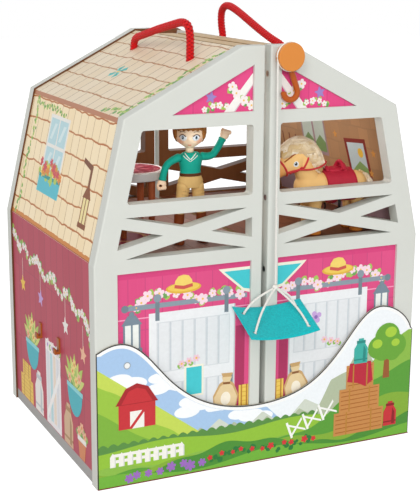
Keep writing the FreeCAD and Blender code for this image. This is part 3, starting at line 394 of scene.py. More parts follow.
def frames_along(path: Sequence[Vector]) -> list[tuple[Vector, Vector, Vector]]:
    """Carry a pair of cross directions along a path without twist.

    Args:
        path: Points.

    Returns:
        For each point, the tangent and two directions square to it.
    """
    result = []
    side = None
    for index in range(len(path)):
        tangent = (path[min(index + 1, len(path) - 1)] - path[max(index - 1, 0)]).normalized()
        if side is None:
            side = tangent.orthogonal().normalized()
        side = (side - tangent * side.dot(tangent)).normalized()
        result.append((tangent, side, tangent.cross(side)))
    return result


# How far the closed end of a skinned form stands out, as a share of its radius.
END_RISE = 0.35


def loft(
    name: str, path: Sequence[Point], radii: Sequence[Flat] | float, segments: int = 20,
    side: Point | None = None,
) -> Object:
    """Skin ellipses along a path and close both ends.

    Args:
        name: The object's name.
        path: Middles of the rings in millimetres.
        radii: Half width along the side direction and half depth across it, one pair a ring, or one radius.
        segments: Points in a ring.
        side: The direction of the half width, or None to choose one.

    Returns:
        The object.
    """
    middles = [Vector(p) for p in path]
    if isinstance(radii, float):
        radii = [(radii, radii)] * len(middles)
    frames = frames_along(middles)
    verts: list[Vector] = []
    for middle, (tangent, right, up), (half_w, half_d) in zip(middles, frames, radii):
        if side is not None:
            right = (Vector(side) - tangent * Vector(side).dot(tangent)).normalized()
            up = tangent.cross(right)
        for step in range(segments):
            turn = 2 * math.pi * step / segments
            verts.append(middle + right * (math.cos(turn) * half_w) + up * (math.sin(turn) * half_d))
    faces = []
    for ring in range(len(middles) - 1):
        for step in range(segments):
            a, b = ring * segments + step, ring * segments + (step + 1) % segments
            faces.append((a, b, b + segments, a + segments))
    for ring, outwards in ((0, -1), (len(middles) - 1, 1)):
        tip = len(verts)
        verts.append(middles[ring] + frames[ring][0] * outwards * END_RISE * min(radii[ring]))
        for step in range(segments):
            a, b = ring * segments + step, ring * segments + (step + 1) % segments
            faces.append((b, a, tip) if ring == 0 else (a, b, tip))
    obj = mesh_object(name, verts, faces)
    tidy_normals(obj)
    return shade(obj)


def punch(obj: Object, start: Vector, end: Vector, radius: float, segments: int) -> None:
    """Cut a round hole through a piece.

    Args:
        obj: The piece.
        start: Where the hole starts, in millimetres.
        end: Where it ends.
        radius: Its radius.
        segments: Points round it.
    """
    drill = loft("drill", [start, end], radius, segments)
    modify(obj, "BOOLEAN", object=drill, operation="DIFFERENCE", solver="EXACT")
    bpy.data.objects.remove(drill)


def melted(obj: Object, voxel: float, rounds: int) -> Object:
    """Join overlapping forms into one skin and smooth it.

    Args:
        obj: The overlapping closed forms as one mesh.
        voxel: Grid size in millimetres.
        rounds: Smoothing steps.

    Returns:
        The object with its new skin.
    """
    modify(obj, "REMESH", mode="VOXEL", voxel_size=voxel * MM, use_smooth_shade=True)
    modify(obj, "SMOOTH", factor=0.5, iterations=rounds)
    return shade(obj)


@dataclass
class Workshop:
    """Keeps the frame and puts each finished piece on its body."""

    frame: dict

    def place(
        self, obj: Object, body: str, slot: str, material: Material | None = None,
        replaces: Sequence[str] = (),
    ) -> Object:
        """Finish a piece: its material, body and the nodes that it stands for.

        Args:
            obj: The piece.
            body: The CAD body that it rides on.
            slot: The record's material slot; not used.
            material: Its only material, or None to keep those that it has.
            replaces: CAD nodes that it stands for.

        Returns:
            The piece.
        """
        if material is not None:
            obj.data.materials.clear()
            obj.data.materials.append(material)
        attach(obj, body)
        if replaces:
            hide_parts(*replaces)
        count = len(obj.data.polygons) if obj.type == "MESH" else 0
        log.info("%s on %s, %d faces", obj.name, body, count)
        return obj

    def dress(self, node: str, material: Material) -> None:
        """Give a CAD node a better material in all its slots.

        Args:
            node: The CAD node's name.
            material: The material.
        """
        obj = self.frame["nodes"][node]
        if not obj.data.materials:
            obj.data.materials.append(material)
        for place in obj.material_slots:
            place.material = material
        log.info("%s dressed as %s", node, material.name)


# Finishes

# How deep a full bump goes in millimetres, how rough a clear coat is, and how strongly a non-metal mirrors.
BUMP_DEPTH = 0.3
COAT_ROUGHNESS = 0.12
SPECULAR = 0.3
# The barn's outline from its foot to its ridge: for each edge a point across and up, and its run and rise.
OUTLINE_EDGES = (((182, 0), (0, 1)), ((182, 227), (-32, 139)), ((150, 366), (-123, 64)))
# How far the paint of the outline's rim reaches inwards, and how far it reaches at the seam.
RIM_MM = 8
SEAM_RIM_MM = 4


@dataclass(frozen=True)
class Finish:
    """A plain finish with mottling and a fine surface texture."""

    name: str
    colour: str
    roughness: float = 0.45
    shade_colour: str = ""
    mottle_mm: float = 9.0
    mottle: float = 0.35
    grit_mm: float = 0.6
    bump: float = 0.06
    metallic: float = 0.0
    ior: float = 1.5
    coat: float = 0.0
    sheen: float = 0.0

    def colour_socket(self, tree: NodeTree, spot: NodeSocket) -> NodeSocket:
        """The colour with soft, slow variation.

        Args:
            tree: The material's node tree.
            spot: Object coordinates.

        Returns:
            A colour socket.
        """
        slow = add_node(tree, "TexNoise", {"Vector": spot, "Scale": 1 / (self.mottle_mm * MM), "Detail": 3.0})
        strength = add_node(tree, "Math", {0: slow, 1: self.mottle}, operation="MULTIPLY")
        other = self.shade_colour or self.colour
        return add_node(tree, "Mix", {0: strength, 6: self.colour, 7: other}, data_type="RGBA").outputs[2]

    def bump_socket(self, tree: NodeTree, spot: NodeSocket) -> NodeSocket:
        """The height pattern of the surface.

        Args:
            tree: The material's node tree.
            spot: Object coordinates.

        Returns:
            A height socket.
        """
        return add_node(
            tree, "TexNoise", {"Vector": spot, "Scale": 1 / (self.grit_mm * MM), "Detail": 2.0}
        ).outputs[0]

    def material(self) -> Material:
        """Build the material, or return it if it is already there.

        Returns:
            The material.
        """
        found = bpy.data.materials.get(self.name)
        if found is not None:
            return found
        material = bpy.data.materials.new(self.name)
        tree = cleared_tree(material)
        spot = add_node(tree, "TexCoord").outputs["Object"]
        bump = add_node(
            tree, "Bump",
            {"Height": self.bump_socket(tree, spot), "Strength": self.bump, "Distance": BUMP_DEPTH * MM},
        )
        inputs = {
            "Base Color": self.colour_socket(tree, spot), "Roughness": self.roughness,
            "Metallic": self.metallic, "Coat Weight": self.coat, "Coat Roughness": COAT_ROUGHNESS,
            "Sheen Weight": self.sheen, "Normal": bump,
        }
        if not self.metallic:
            inputs["IOR"] = self.ior
            inputs["Specular IOR Level"] = SPECULAR
        shader = add_node(tree, "BsdfPrincipled", inputs)
        add_node(tree, "OutputMaterial", {"Surface": shader})
        material.diffuse_color = linear(self.colour)
        return material


@dataclass(frozen=True)
class BoardFinish(Finish):
    """A printed board: planks or shingles on its outer face, other colours inside and on its cut edges.

    The pattern lies in the plane of u and v through the origin. Depth counts inwards from there.
    """

    grit_mm: float = 0.8
    bump: float = 0.03
    origin: Point = (0, 0, 0)
    u: Point = (1, 0, 0)
    v: Point = (0, 0, 1)
    cell_mm: float = 30.0
    row_mm: float = 5000.0
    stagger: float = 0.0
    seam_mm: float = 0.8
    row_line_mm: float = 0.0
    wave_mm: float = 0.0
    wave_length_mm: float = 30.0
    seam_colour: str = "8E4450"
    row_colour: str = "BE8256"
    inside: str = "6E4B33"
    inside_seam: str = "4E3323"
    edge: str = "CFCBC2"
    board_mm: float = 8.0

    def colour_socket(self, tree: NodeTree, spot: NodeSocket) -> NodeSocket:
        """The printed boards outside, plain boards inside and paint on the edges.

        Args:
            tree: The material's node tree.
            spot: Object coordinates.

        Returns:
            A colour socket.
        """
        normal = Vector(self.u).cross(Vector(self.v)).normalized()
        local = add_node(tree, "VectorMath", {0: spot, 1: Vector(self.origin) * MM}, operation="SUBTRACT")
        along = [
            add_node(tree, "VectorMath", {0: local, 1: Vector(axis) / MM}, operation="DOT_PRODUCT").outputs[1]
            for axis in (self.u, self.v, normal)
        ]
        wobble = add_node(
            tree, "TexNoise", {"Vector": spot, "Scale": 1 / (self.wave_length_mm * MM), "Detail": 2.0}
        )
        waved = add_node(tree, "Math", {0: wobble, 1: self.wave_mm, 2: along[1]}, operation="MULTIPLY_ADD")
        row = add_node(tree, "Math", {0: waved, 1: self.row_mm}, operation="DIVIDE")
        row_number = add_node(tree, "Math", {0: row}, operation="FLOOR")
        shifted = add_node(
            tree, "Math", {0: row_number, 1: self.stagger * self.cell_mm, 2: along[0]},
            operation="MULTIPLY_ADD",
        )
        leaned = add_node(
            tree, "Math", {0: wobble, 1: 0.25 * self.wave_mm, 2: shifted}, operation="MULTIPLY_ADD"
        )
        cell = add_node(tree, "Math", {0: leaned, 1: self.cell_mm}, operation="DIVIDE")
        cell_number = add_node(tree, "Math", {0: cell}, operation="FLOOR")
        key = add_node(tree, "CombineXYZ", {0: cell_number, 1: row_number})
        chance = add_node(tree, "TexWhiteNoise", {"Vector": key}, noise_dimensions="2D")
        drawn_out = add_node(tree, "Math", {0: along[1], 1: 0.06}, operation="MULTIPLY")
        stretch = add_node(tree, "CombineXYZ", {0: along[0], 1: drawn_out})
        grain = add_node(
            tree, "TexNoise", {"Vector": stretch, "Scale": 0.55, "Detail": 3.0, "Roughness": 0.6}
        )
        tone = add_node(tree, "Math", {0: chance, 1: 0.65}, operation="MULTIPLY")
        tone = add_node(tree, "Math", {0: grain, 1: 0.45, 2: tone}, operation="MULTIPLY_ADD")
        board = add_node(
            tree, "Mix", {0: tone, 6: self.colour, 7: self.shade_colour or self.colour}, data_type="RGBA"
        ).outputs[2]
        inner = add_node(
            tree, "Mix", {0: tone, 6: self.inside, 7: self.inside_seam}, data_type="RGBA"
        ).outputs[2]
        for position, size, line, colour in (
            (cell, self.cell_mm, self.seam_mm, self.seam_colour),
            (row, self.row_mm, self.row_line_mm, self.row_colour),
        ):
            if line <= 0:
                continue
            share = add_node(tree, "Math", {0: position}, operation="FRACT")
            mask = add_node(
                tree, "MapRange",
                {
                    "Value": share, "From Min": 0.7 * line / size, "From Max": 1.3 * line / size,
                    "To Min": 1.0, "To Max": 0.0,
                },
            )
            board = add_node(tree, "Mix", {0: mask, 6: board, 7: colour}, data_type="RGBA").outputs[2]
            inner = add_node(
                tree, "Mix", {0: mask, 6: inner, 7: self.inside_seam}, data_type="RGBA"
            ).outputs[2]
        outside = add_node(tree, "Math", {0: along[2], 1: -0.4}, operation="GREATER_THAN")
        within = add_node(tree, "Math", {0: along[2], 1: 0.4 - self.board_mm}, operation="LESS_THAN")
        colour = add_node(tree, "Mix", {0: outside, 6: self.edge, 7: board}, data_type="RGBA").outputs[2]
        return add_node(tree, "Mix", {0: within, 6: colour, 7: inner}, data_type="RGBA").outputs[2]


@dataclass(frozen=True)
class FrameFinish(Finish):
    """Painted frame board with a brown stained inner face."""

    inner_y: float = 0.0
    rear: bool = False
    inside: str = "5A371E"
    inside_shade: str = "6C452A"

    def colour_socket(self, tree: NodeTree, spot: NodeSocket) -> NodeSocket:
        """Paint outside and stain on the inner face, and in the rear frame's openings too.

        Args:
            tree: The material's node tree.
            spot: Object coordinates.

        Returns:
            A colour socket.
        """
        paint = Finish.colour_socket(self, tree, spot)
        parts = add_node(tree, "SeparateXYZ", {0: spot})
        stretch = add_node(tree, "Mapping", {0: spot, 3: (400.0, 400.0, 30.0)})
        grain = add_node(tree, "TexNoise", {"Vector": stretch, "Scale": 1.0, "Detail": 4.0})
        stain = add_node(
            tree, "Mix", {0: grain, 6: self.inside, 7: self.inside_shade}, data_type="RGBA"
        ).outputs[2]
        sense = "LESS_THAN" if self.rear else "GREATER_THAN"
        slack = 0.3 if self.rear else -0.3
        mask = add_node(tree, "Math", {0: parts.outputs[1], 1: (self.inner_y + slack) * MM}, operation=sense)
        if self.rear:
            across = add_node(tree, "Math", {0: parts.outputs[0]}, operation="ABSOLUTE")
            depth = None
            for (x, z), (run, rise) in OUTLINE_EDGES:
                length = math.hypot(run, rise)
                out = add_node(tree, "CombineXYZ", {0: across, 2: parts.outputs[2]})
                square = (rise / length, 0, -run / length)
                reach = add_node(tree, "VectorMath", {0: out, 1: square}, operation="DOT_PRODUCT").outputs[1]
                offset = (x * rise - z * run) / length * MM
                gap = add_node(tree, "Math", {0: reach, 1: offset}, operation="SUBTRACT")
                depth = gap if depth is None else add_node(
                    tree, "Math", {0: depth, 1: gap}, operation="MAXIMUM"
                )
            deep = add_node(tree, "Math", {0: depth, 1: -RIM_MM * MM}, operation="LESS_THAN")
            inward = add_node(
                tree, "Math", {0: parts.outputs[1], 1: (REAR_Y - 0.5) * MM}, operation="LESS_THAN"
            )
            clear = add_node(tree, "Math", {0: across, 1: SEAM_RIM_MM * MM}, operation="GREATER_THAN")
            both = add_node(tree, "Math", {0: deep, 1: inward}, operation="MULTIPLY")
            both = add_node(tree, "Math", {0: both, 1: clear}, operation="MULTIPLY")
            mask = add_node(tree, "Math", {0: mask, 1: both}, operation="MAXIMUM")
        return add_node(tree, "Mix", {0: mask, 6: paint, 7: stain}, data_type="RGBA").outputs[2]


@dataclass(frozen=True)
class YarnFinish(Finish):
    """Twisted yarn on a strand's own map: metres along it, 0 to 1 round it, and how far out it lies."""

    ply_mm: float = 1.1
    lean: float = 2.0
    # The dark red of the painted shade in the rope's gaps.
    under_colour: str = ""

    def colour_socket(self, tree: NodeTree, spot: NodeSocket) -> NodeSocket:
        """The plain colour with painted shade at a strand's sides and where it passes under another.

        Args:
            tree: The material's node tree.
            spot: Object coordinates.

        Returns:
            A colour socket.
        """
        colour = Finish.colour_socket(self, tree, spot)
        if not self.under_colour:
            return colour
        # Painted shade: the dark red is mixed in where the yarn map's third part is low, on a strand's sides
        # and under other strands.
        yarn = add_node(tree, "Attribute", attribute_name="yarn")
        parts = add_node(tree, "SeparateXYZ", {0: yarn.outputs["Vector"]})
        ends = {"From Min": 1.3, "From Max": 0.1, "To Min": 0.0, "To Max": 0.95}
        mask = add_node(tree, "MapRange", {"Value": parts.outputs[2], **ends})
        return add_node(tree, "Mix", {0: mask, 6: colour, 7: self.under_colour}, data_type="RGBA").outputs[2]

    def bump_socket(self, tree: NodeTree, spot: NodeSocket) -> NodeSocket:
        """Slanted ridges of single yarns.

        Args:
            tree: The material's node tree.
            spot: Object coordinates.

        Returns:
            A height socket.
        """
        yarn = add_node(tree, "Attribute", attribute_name="yarn")
        parts = add_node(tree, "SeparateXYZ", {0: yarn.outputs["Vector"]})
        slant = add_node(
            tree, "Math", {0: parts.outputs[1], 1: self.lean * self.ply_mm * MM, 2: parts.outputs[0]},
            operation="MULTIPLY_ADD",
        )
        wave = add_node(tree, "Math", {0: slant, 1: 2 * math.pi / (self.ply_mm * MM)}, operation="MULTIPLY")
        ridge = add_node(tree, "Math", {0: wave}, operation="SINE")
        fuzz = Finish.bump_socket(self, tree, spot)
        return add_node(tree, "Math", {0: ridge, 1: 0.5, 2: fuzz}, operation="MULTIPLY_ADD").outputs[0]


class Finishes:
    """The plain finishes, named for what the real ones are."""

    # Moulded ABS: glossy, saturated, with barely any texture.
    ABS_ORANGE = Finish("moulded_abs_orange", "D58436", 0.3, "D98A3F", 12.0, 0.5, 2.0, 0.02, coat=0.15)
    ABS_RUST = Finish("moulded_abs_rust", "B4540C", 0.28, "A84A0A", 12.0, 0.5, 2.0, 0.02, coat=0.2)
    ABS_BROWN = Finish("moulded_abs_brown", "A85A22", 0.35, "8A4518", 6.0, 0.8, 1.0, 0.03, coat=0.1)
    # Nickel plate on steel: bright, slightly brushed.
    NICKEL = Finish("nickel_plated_steel", "C9C9CC", 0.28, "B4B4B8", 3.0, 0.6, 0.35, 0.04, metallic=1.0)
    # Grey edge banding along the base.
    EDGE_GREY = Finish("grey_painted_mdf", "A9A8A6", 0.5, "9B9A98", 16.0, 0.6, 0.8, 0.05)
    # Dyed wool felt: matt fibres that catch light at the rim.
    FELT = Finish("dyed_wool_felt", "04D6D8", 0.95, "0496A0", 1.7, 1.0, 0.35, 0.5, sheen=0.25)
    # Soft PVC figures: matt skin with a gentle sheen.
    SKIN = Finish("soft_pvc_skin", "FFE4C4", 0.5, "F6CFAE", 14.0, 0.6, 1.0, 0.02, ior=1.45)
    # Moulded PVC hair: brown with darker grooves and a satin shine.
    HAIR = Finish("soft_pvc_brown_hair", "B47636", 0.45, "8E5622", 3.0, 1.0, 0.8, 0.08)
    # Moulded PVC clothes and boots: even colours with a faint grain.
    SWEATER = Finish("soft_pvc_teal", "12A893", 0.5, "0E9684", 8.0, 0.7, 0.7, 0.06)
    TROUSERS = Finish("soft_pvc_tan", "DDB878", 0.5, "CFA765", 9.0, 0.7, 0.8, 0.05)
    BELT = Finish("soft_pvc_dark_brown", "5E3216", 0.45, "4B2710", 5.0, 0.7, 0.8, 0.05)
    BOOT = Finish("soft_pvc_brown", "8C4420", 0.38, "74351A", 8.0, 0.8, 1.0, 0.05)
    # Hand-painted details: smooth, and glossy on the eyes so that they catch the light; the eye white also
    # makes the white dot of painted highlight on each eye.
    WHITE_TRIM = Finish("painted_white_trim", "F1F0EA", 0.4, "E4E3DC", 2.0, 0.6, 0.8, 0.02)
    EYE_WHITE = Finish("painted_eye_white", "E6ECF0", 0.2, "D9E2E8", 2.0, 0.6, 0.8, 0.0, coat=0.3)
    EYE_BLUE = Finish("painted_eye_blue_grey", "3E6C86", 0.2, "2A5068", 1.0, 0.8, 0.8, 0.0, coat=0.3)
    EYE_BLACK = Finish("painted_eye_black", "14100E", 0.15, "0C0A09", 1.0, 0.6, 0.8, 0.0, coat=0.4)
    LIP = Finish("painted_lip", "D98A70", 0.4, "CF7C64", 1.0, 0.6, 0.8, 0.0)
    # Moulded PVC tack: deep reds, duller on the cloth.
    BRIDLE = Finish("soft_pvc_red", "CC3A3C", 0.4, "B92E34", 3.0, 0.8, 0.8, 0.04)
    SADDLE = Finish("soft_pvc_crimson", "BC2A3E", 0.5, "A62036", 5.0, 0.8, 0.6, 0.08)
    # Black enamel: small dark shapes with a sharp light.
    STIRRUP = Finish("black_enamel", "1C1A1C", 0.3, "121112", 2.0, 0.6, 0.8, 0.02)
    # Walnut stain on beech: warm brown wood under a satin film.
    STAIN = Finish("walnut_stain_on_beech", "A85C3A", 0.4, "8C4628", 4.0, 0.9, 0.9, 0.08)
    # Uncoated board: dull grey paper fibres.
    CARD_BACK = Finish("grey_board_back", "B9B3A6", 0.7, "A9A396", 5.0, 0.8, 0.6, 0.08)


def ink(colour: str) -> Material:
    """Printed ink of one colour, with the faint mottle of offset print.

    Args:
        colour: Its sRGB hex value.

    Returns:
        The material.
    """
    darker = "".join("%02X" % int(int(colour[i : i + 2], 16) * 0.9) for i in (0, 2, 4))
    return Finish("offset_ink_" + colour.lower(), colour, 0.42, darker, 3.0, 0.55, 0.9, 0.02).material()


# Geometry node groups


def geometry_group(name: str, inputs: Sequence[tuple[str, str]]) -> tuple[NodeTree, Node]:
    """Start a geometry node group with a geometry input and named inputs.

    Args:
        name: The group's name.
        inputs: Label and socket kind of each further input.

    Returns:
        The group and its input node.
    """
    tree = bpy.data.node_groups.new(name, "GeometryNodeTree")
    tree.interface.new_socket("Geometry", in_out="INPUT", socket_type="NodeSocketGeometry")
    for label, kind in inputs:
        tree.interface.new_socket(label, in_out="INPUT", socket_type="NodeSocket" + kind)
    tree.interface.new_socket("Geometry", in_out="OUTPUT", socket_type="NodeSocketGeometry")
    return tree, tree.nodes.new("NodeGroupInput")


def close_group(tree: NodeTree, geometry: Node, material: NodeSocket) -> None:
    """End a group: real geometry, one material and the output.

    Args:
        tree: The group.
        geometry: The node whose first output is the result.
        material: The material socket.
    """
    real = add_node(tree, "GeometryNodeRealizeInstances", {0: geometry})
    skin = add_node(tree, "GeometryNodeSetMaterial", {"Geometry": real, "Material": material})
    add_node(tree, "NodeGroupOutput", {0: skin})


def grow(source: Object, group: NodeTree, **values: object) -> Object:
    """Run a group over an object, bake what it makes and drop the modifier.

    Args:
        source: A mesh object.
        group: The geometry node group.
        **values: Input labels with underscores for spaces, and their values.

    Returns:
        The same object with the baked mesh.
    """
    modifier = source.modifiers.new(group.name, "NODES")
    modifier.node_group = group
    for item in group.interface.items_tree:
        label = item.name.replace(" ", "_")
        if item.in_out == "INPUT" and label in values:
            modifier[item.identifier] = values[label]
    graph = bpy.context.evaluated_depsgraph_get()
    baked = bpy.data.meshes.new_from_object(source.evaluated_get(graph))
    source.modifiers.clear()
    old, source.data = source.data, baked
    bpy.data.meshes.remove(old)
    return source


def strand_group() -> NodeTree:
    """A group that winds one strand round a line and leaves its yarn map as an attribute.

    Returns:
        The group's tree.
    """
    found = bpy.data.node_groups.get("wound_strand")
    if found is not None:
        return found
    labels = ("Radius", "Sway", "Pitch", "Phase", "Hand", "Half Width", "Half Depth")
    tree, given = geometry_group(
        "wound_strand", [(label, "Float") for label in labels] + [("Material", "Material")]
    )
    out = given.outputs
    line = add_node(tree, "GeometryNodeMeshToCurve", {0: out["Geometry"]})
    along = add_node(tree, "GeometryNodeSplineParameter").outputs["Length"]
    turns = add_node(tree, "Math", {0: along, 1: out["Pitch"]}, operation="DIVIDE")
    turns = add_node(tree, "Math", {0: turns, 1: 2 * math.pi}, operation="MULTIPLY")
    angle = add_node(tree, "Math", {0: turns, 1: out["Hand"], 2: out["Phase"]}, operation="MULTIPLY_ADD")
    normal = add_node(tree, "GeometryNodeInputNormal")
    tangent = add_node(tree, "GeometryNodeInputTangent")
    across = add_node(tree, "VectorMath", {0: tangent, 1: normal}, operation="CROSS_PRODUCT")
    cosine = add_node(tree, "Math", {0: angle}, operation="COSINE")
    sine = add_node(tree, "Math", {0: angle}, operation="SINE")
    part = add_node(tree, "VectorMath", {0: normal, "Scale": cosine}, operation="SCALE")
    other = add_node(tree, "VectorMath", {0: across, "Scale": sine}, operation="SCALE")
    radial = add_node(tree, "VectorMath", {0: part, 1: other}, operation="ADD")
    wave = add_node(tree, "Math", {0: turns, 1: 4.0}, operation="MULTIPLY")
    wave = add_node(tree, "Math", {0: wave}, operation="COSINE")
    reach = add_node(tree, "Math", {0: wave, 1: out["Sway"], 2: out["Radius"]}, operation="MULTIPLY_ADD")
    length_kept = add_node(tree, "GeometryNodeCaptureAttribute", {"Geometry": line})
    length_kept.capture_items.new("FLOAT", "along")
    length_kept.capture_items.new("VECTOR", "radial")
    length_kept.capture_items.new("FLOAT", "height")
    height = add_node(tree, "Math", {0: wave, 1: out["Hand"]}, operation="MULTIPLY")
    tree.links.new(height.outputs[0], length_kept.inputs["height"])
    tree.links.new(along, length_kept.inputs["along"])
    tree.links.new(radial.outputs[0], length_kept.inputs["radial"])
    offset = add_node(
        tree, "VectorMath", {0: length_kept.outputs["radial"], "Scale": reach}, operation="SCALE"
    )
    moved = add_node(tree, "GeometryNodeSetPosition", {"Geometry": length_kept, "Offset": offset})
    turned = add_node(
        tree, "GeometryNodeSetCurveNormal", {"Curve": moved, "Normal": length_kept.outputs["radial"]},
        mode="FREE",
    )
    circle = add_node(tree, "GeometryNodeCurvePrimitiveCircle", {"Resolution": 10, "Radius": 1.0})
    round_kept = add_node(tree, "GeometryNodeCaptureAttribute", {"Geometry": circle})
    round_kept.capture_items.new("FLOAT", "around")
    tree.links.new(
        add_node(tree, "GeometryNodeSplineParameter").outputs["Factor"], round_kept.inputs["around"]
    )
    size = add_node(tree, "CombineXYZ", {0: out["Half Depth"], 1: out["Half Width"], 2: 1.0})
    profile = add_node(tree, "GeometryNodeTransform", {"Geometry": round_kept, "Scale": size})
    skin = add_node(
        tree, "GeometryNodeCurveToMesh", {"Curve": turned, "Profile Curve": profile, "Fill Caps": True}
    )
    # The yarn map's third part sets the rope's painted shade: low on a strand's sides and inner face and
    # where it dips under another.
    turned_to = add_node(
        tree, "Math", {0: round_kept.outputs["around"], 1: 2 * math.pi}, operation="MULTIPLY"
    )
    outward = add_node(tree, "Math", {0: turned_to}, operation="COSINE")
    light = add_node(
        tree, "Math", {0: length_kept.outputs["height"], 1: 0.5, 2: outward}, operation="MULTIPLY_ADD"
    )
    yarn = add_node(
        tree, "CombineXYZ", {0: length_kept.outputs["along"], 1: round_kept.outputs["around"], 2: light}
    )
    stored = add_node(
        tree, "GeometryNodeStoreNamedAttribute", {"Geometry": skin, "Name": "yarn", "Value": yarn},
        data_type="FLOAT_VECTOR", domain="POINT",
    )
    smooth = add_node(tree, "GeometryNodeSetShadeSmooth", {"Geometry": stored})
    close_group(tree, smooth, out["Material"])
    return tree


# Cords


@dataclass(frozen=True)
class Weave:
    """How the strands of a cord run: some wound each way, or all one way."""

    per_hand: int
    both_hands: bool
    radius: float
    sway: float
    pitch: float
    half_width: float
    half_depth: float
    core: float = 0.0

    def cover(self, name: str, path: Sequence[Vector], material: Material) -> Object:
        """Build the strands over a centreline as one object.

        Args:
            name: The object's name.
            path: Close points in millimetres.
            material: The yarn's material.

        Returns:
            The cord, at the origin.
        """
        strands = []
        hands = (1, -1) if self.both_hands else (1,)
        plan = [
            (
                hand, 2 * math.pi * index / self.per_hand, self.radius, hand * self.sway, self.half_width,
                self.half_depth,
            )
            for hand in hands
            for index in range(self.per_hand)
        ]
        if self.core:
            plan.append((1, 0.0, 0.0, 0.0, self.core, self.core))
        for number, (hand, phase, radius, sway, half_width, half_depth) in enumerate(plan):
            line = line_object(f"{name}_{number}", [path])
            grow(
                line, strand_group(), Radius=radius * MM, Sway=sway * MM, Pitch=self.pitch * MM, Phase=phase,
                Hand=float(hand), Half_Width=half_width * MM, Half_Depth=half_depth * MM, Material=material,
            )
            strands.append(line)
        whole = join(name, strands)
        tidy_normals(whole, 0)
        return whole


# An 8 mm rope braided from four strands each way, 2.6 mm cords twisted from three, and the rope's knot.
BRAID = Weave(4, True, 2.75, 0.55, 14.5, 1.4, 1.0, core=1.9)
TWIST = Weave(3, False, 0.6, 0.0, 6.5, 0.68, 0.68)
KNOT_TWIST = Weave(3, False, 1.3, 0.0, 9.0, 1.3, 1.2)
# The rope's yarn is slick plastic fibre with painted shade dark in its gaps, and the cord's is dull cotton.
ROPE_YARN = YarnFinish(
    "braided_polypropylene_rope", "E00E16", 0.4, "CC0A12", 2.0, 0.8, 0.3, 0.35, sheen=0.02,
    under_colour="74040A",
)
WHITE_YARN = YarnFinish(
    "twisted_cotton_cord", "F2F0EA", 0.8, "DEDAD0", 2.0, 0.6, 0.3, 0.2, sheen=0.2, ply_mm=0.6
)


def knot_path(centre: Vector, size: float, depth: float, steps: int) -> list[Vector]:
    """The closed loop of an overhand knot.

    Args:
        centre: Its middle, in millimetres.
        size: A third of its reach.
        depth: How far it weaves up and down, as a share of the size.
        steps: Points round it.

    Returns:
        Its points.
    """
    path = []
    for step in range(steps + 1):
        t = 2 * math.pi * step / steps
        x, y = math.sin(t) + 2 * math.sin(2 * t), math.cos(t) - 2 * math.cos(2 * t)
        path.append(centre + Vector((x, y, -depth * math.sin(3 * t))) * size)
    return path


@dataclass
class RopeHandle:
    """A carrying handle that runs from one knot inside the roof to the other."""

    shop: Workshop
    side: Side
    route: Sequence[Point]
    hole_x: float = 55.0
    back_y: float = 215.0
    front_y: float = 63.0
    knot_top: float = 401.56
    knot_drop: float = 5.75
    rope: float = 8.0

    def build(self) -> None:
        """Build the rope and its two knots."""
        sign = self.side.value
        points = [
            (self.hole_x, self.back_y, self.knot_top), *self.route, (self.hole_x, self.front_y, self.knot_top)
        ]
        path = smooth_path([(sign * x, FRONT_Y + y, z) for x, y, z in points], 320)
        yarn = ROPE_YARN.material()
        rope = BRAID.cover(f"{self.side.word}_rope_handle_braid", path, yarn)
        self.shop.place(rope, self.side.body, "rope", replaces=(f"{self.side.word}_rope_handle",))
        knots = [self.knot(y, yarn) for y in (self.back_y, self.front_y)]
        whole = join(f"{self.side.word}_rope_knots_tied", knots)
        self.shop.place(whole, self.side.body, "rope", replaces=(f"{self.side.word}_rope_knots",))

    def knot(self, y_place: float, yarn: Material) -> Object:
        """An overhand knot under the roof board.

        Args:
            y_place: Its distance from the front face.
            yarn: The rope's material.

        Returns:
            The knot.
        """
        centre = Vector((self.side.value * self.hole_x, FRONT_Y + y_place, self.knot_top - self.knot_drop))
        return KNOT_TWIST.cover("rope_knot", knot_path(centre, 1.35, 1.1, 96), yarn)


# Each handle's route from its rear hole to its front one: across from the seam, back from the front, and up.
ROPE_ROUTES: dict[Side, Sequence[Point]] = {
    Side.RIGHT: (
        (55.0, 215.0, 422.0), (51.5, 214.5, 439.0), (48.5, 207.0, 454.5), (47.5, 191.0, 460.5),
        (47.5, 168.0, 456.0), (48.5, 131.0, 443.0), (50.5, 96.0, 430.5), (55.0, 63.0, 421.0),
    ),
    Side.LEFT: (
        (55.0, 215.0, 420.0), (57.0, 200.0, 426.5), (58.0, 176.0, 430.5), (58.5, 138.0, 438.5),
        (58.5, 100.0, 445.0), (57.5, 76.0, 449.5), (56.0, 63.5, 446.5), (55.5, 61.0, 433.0),
        (55.0, 63.0, 420.0),
    ),
}


# Hoist and sling


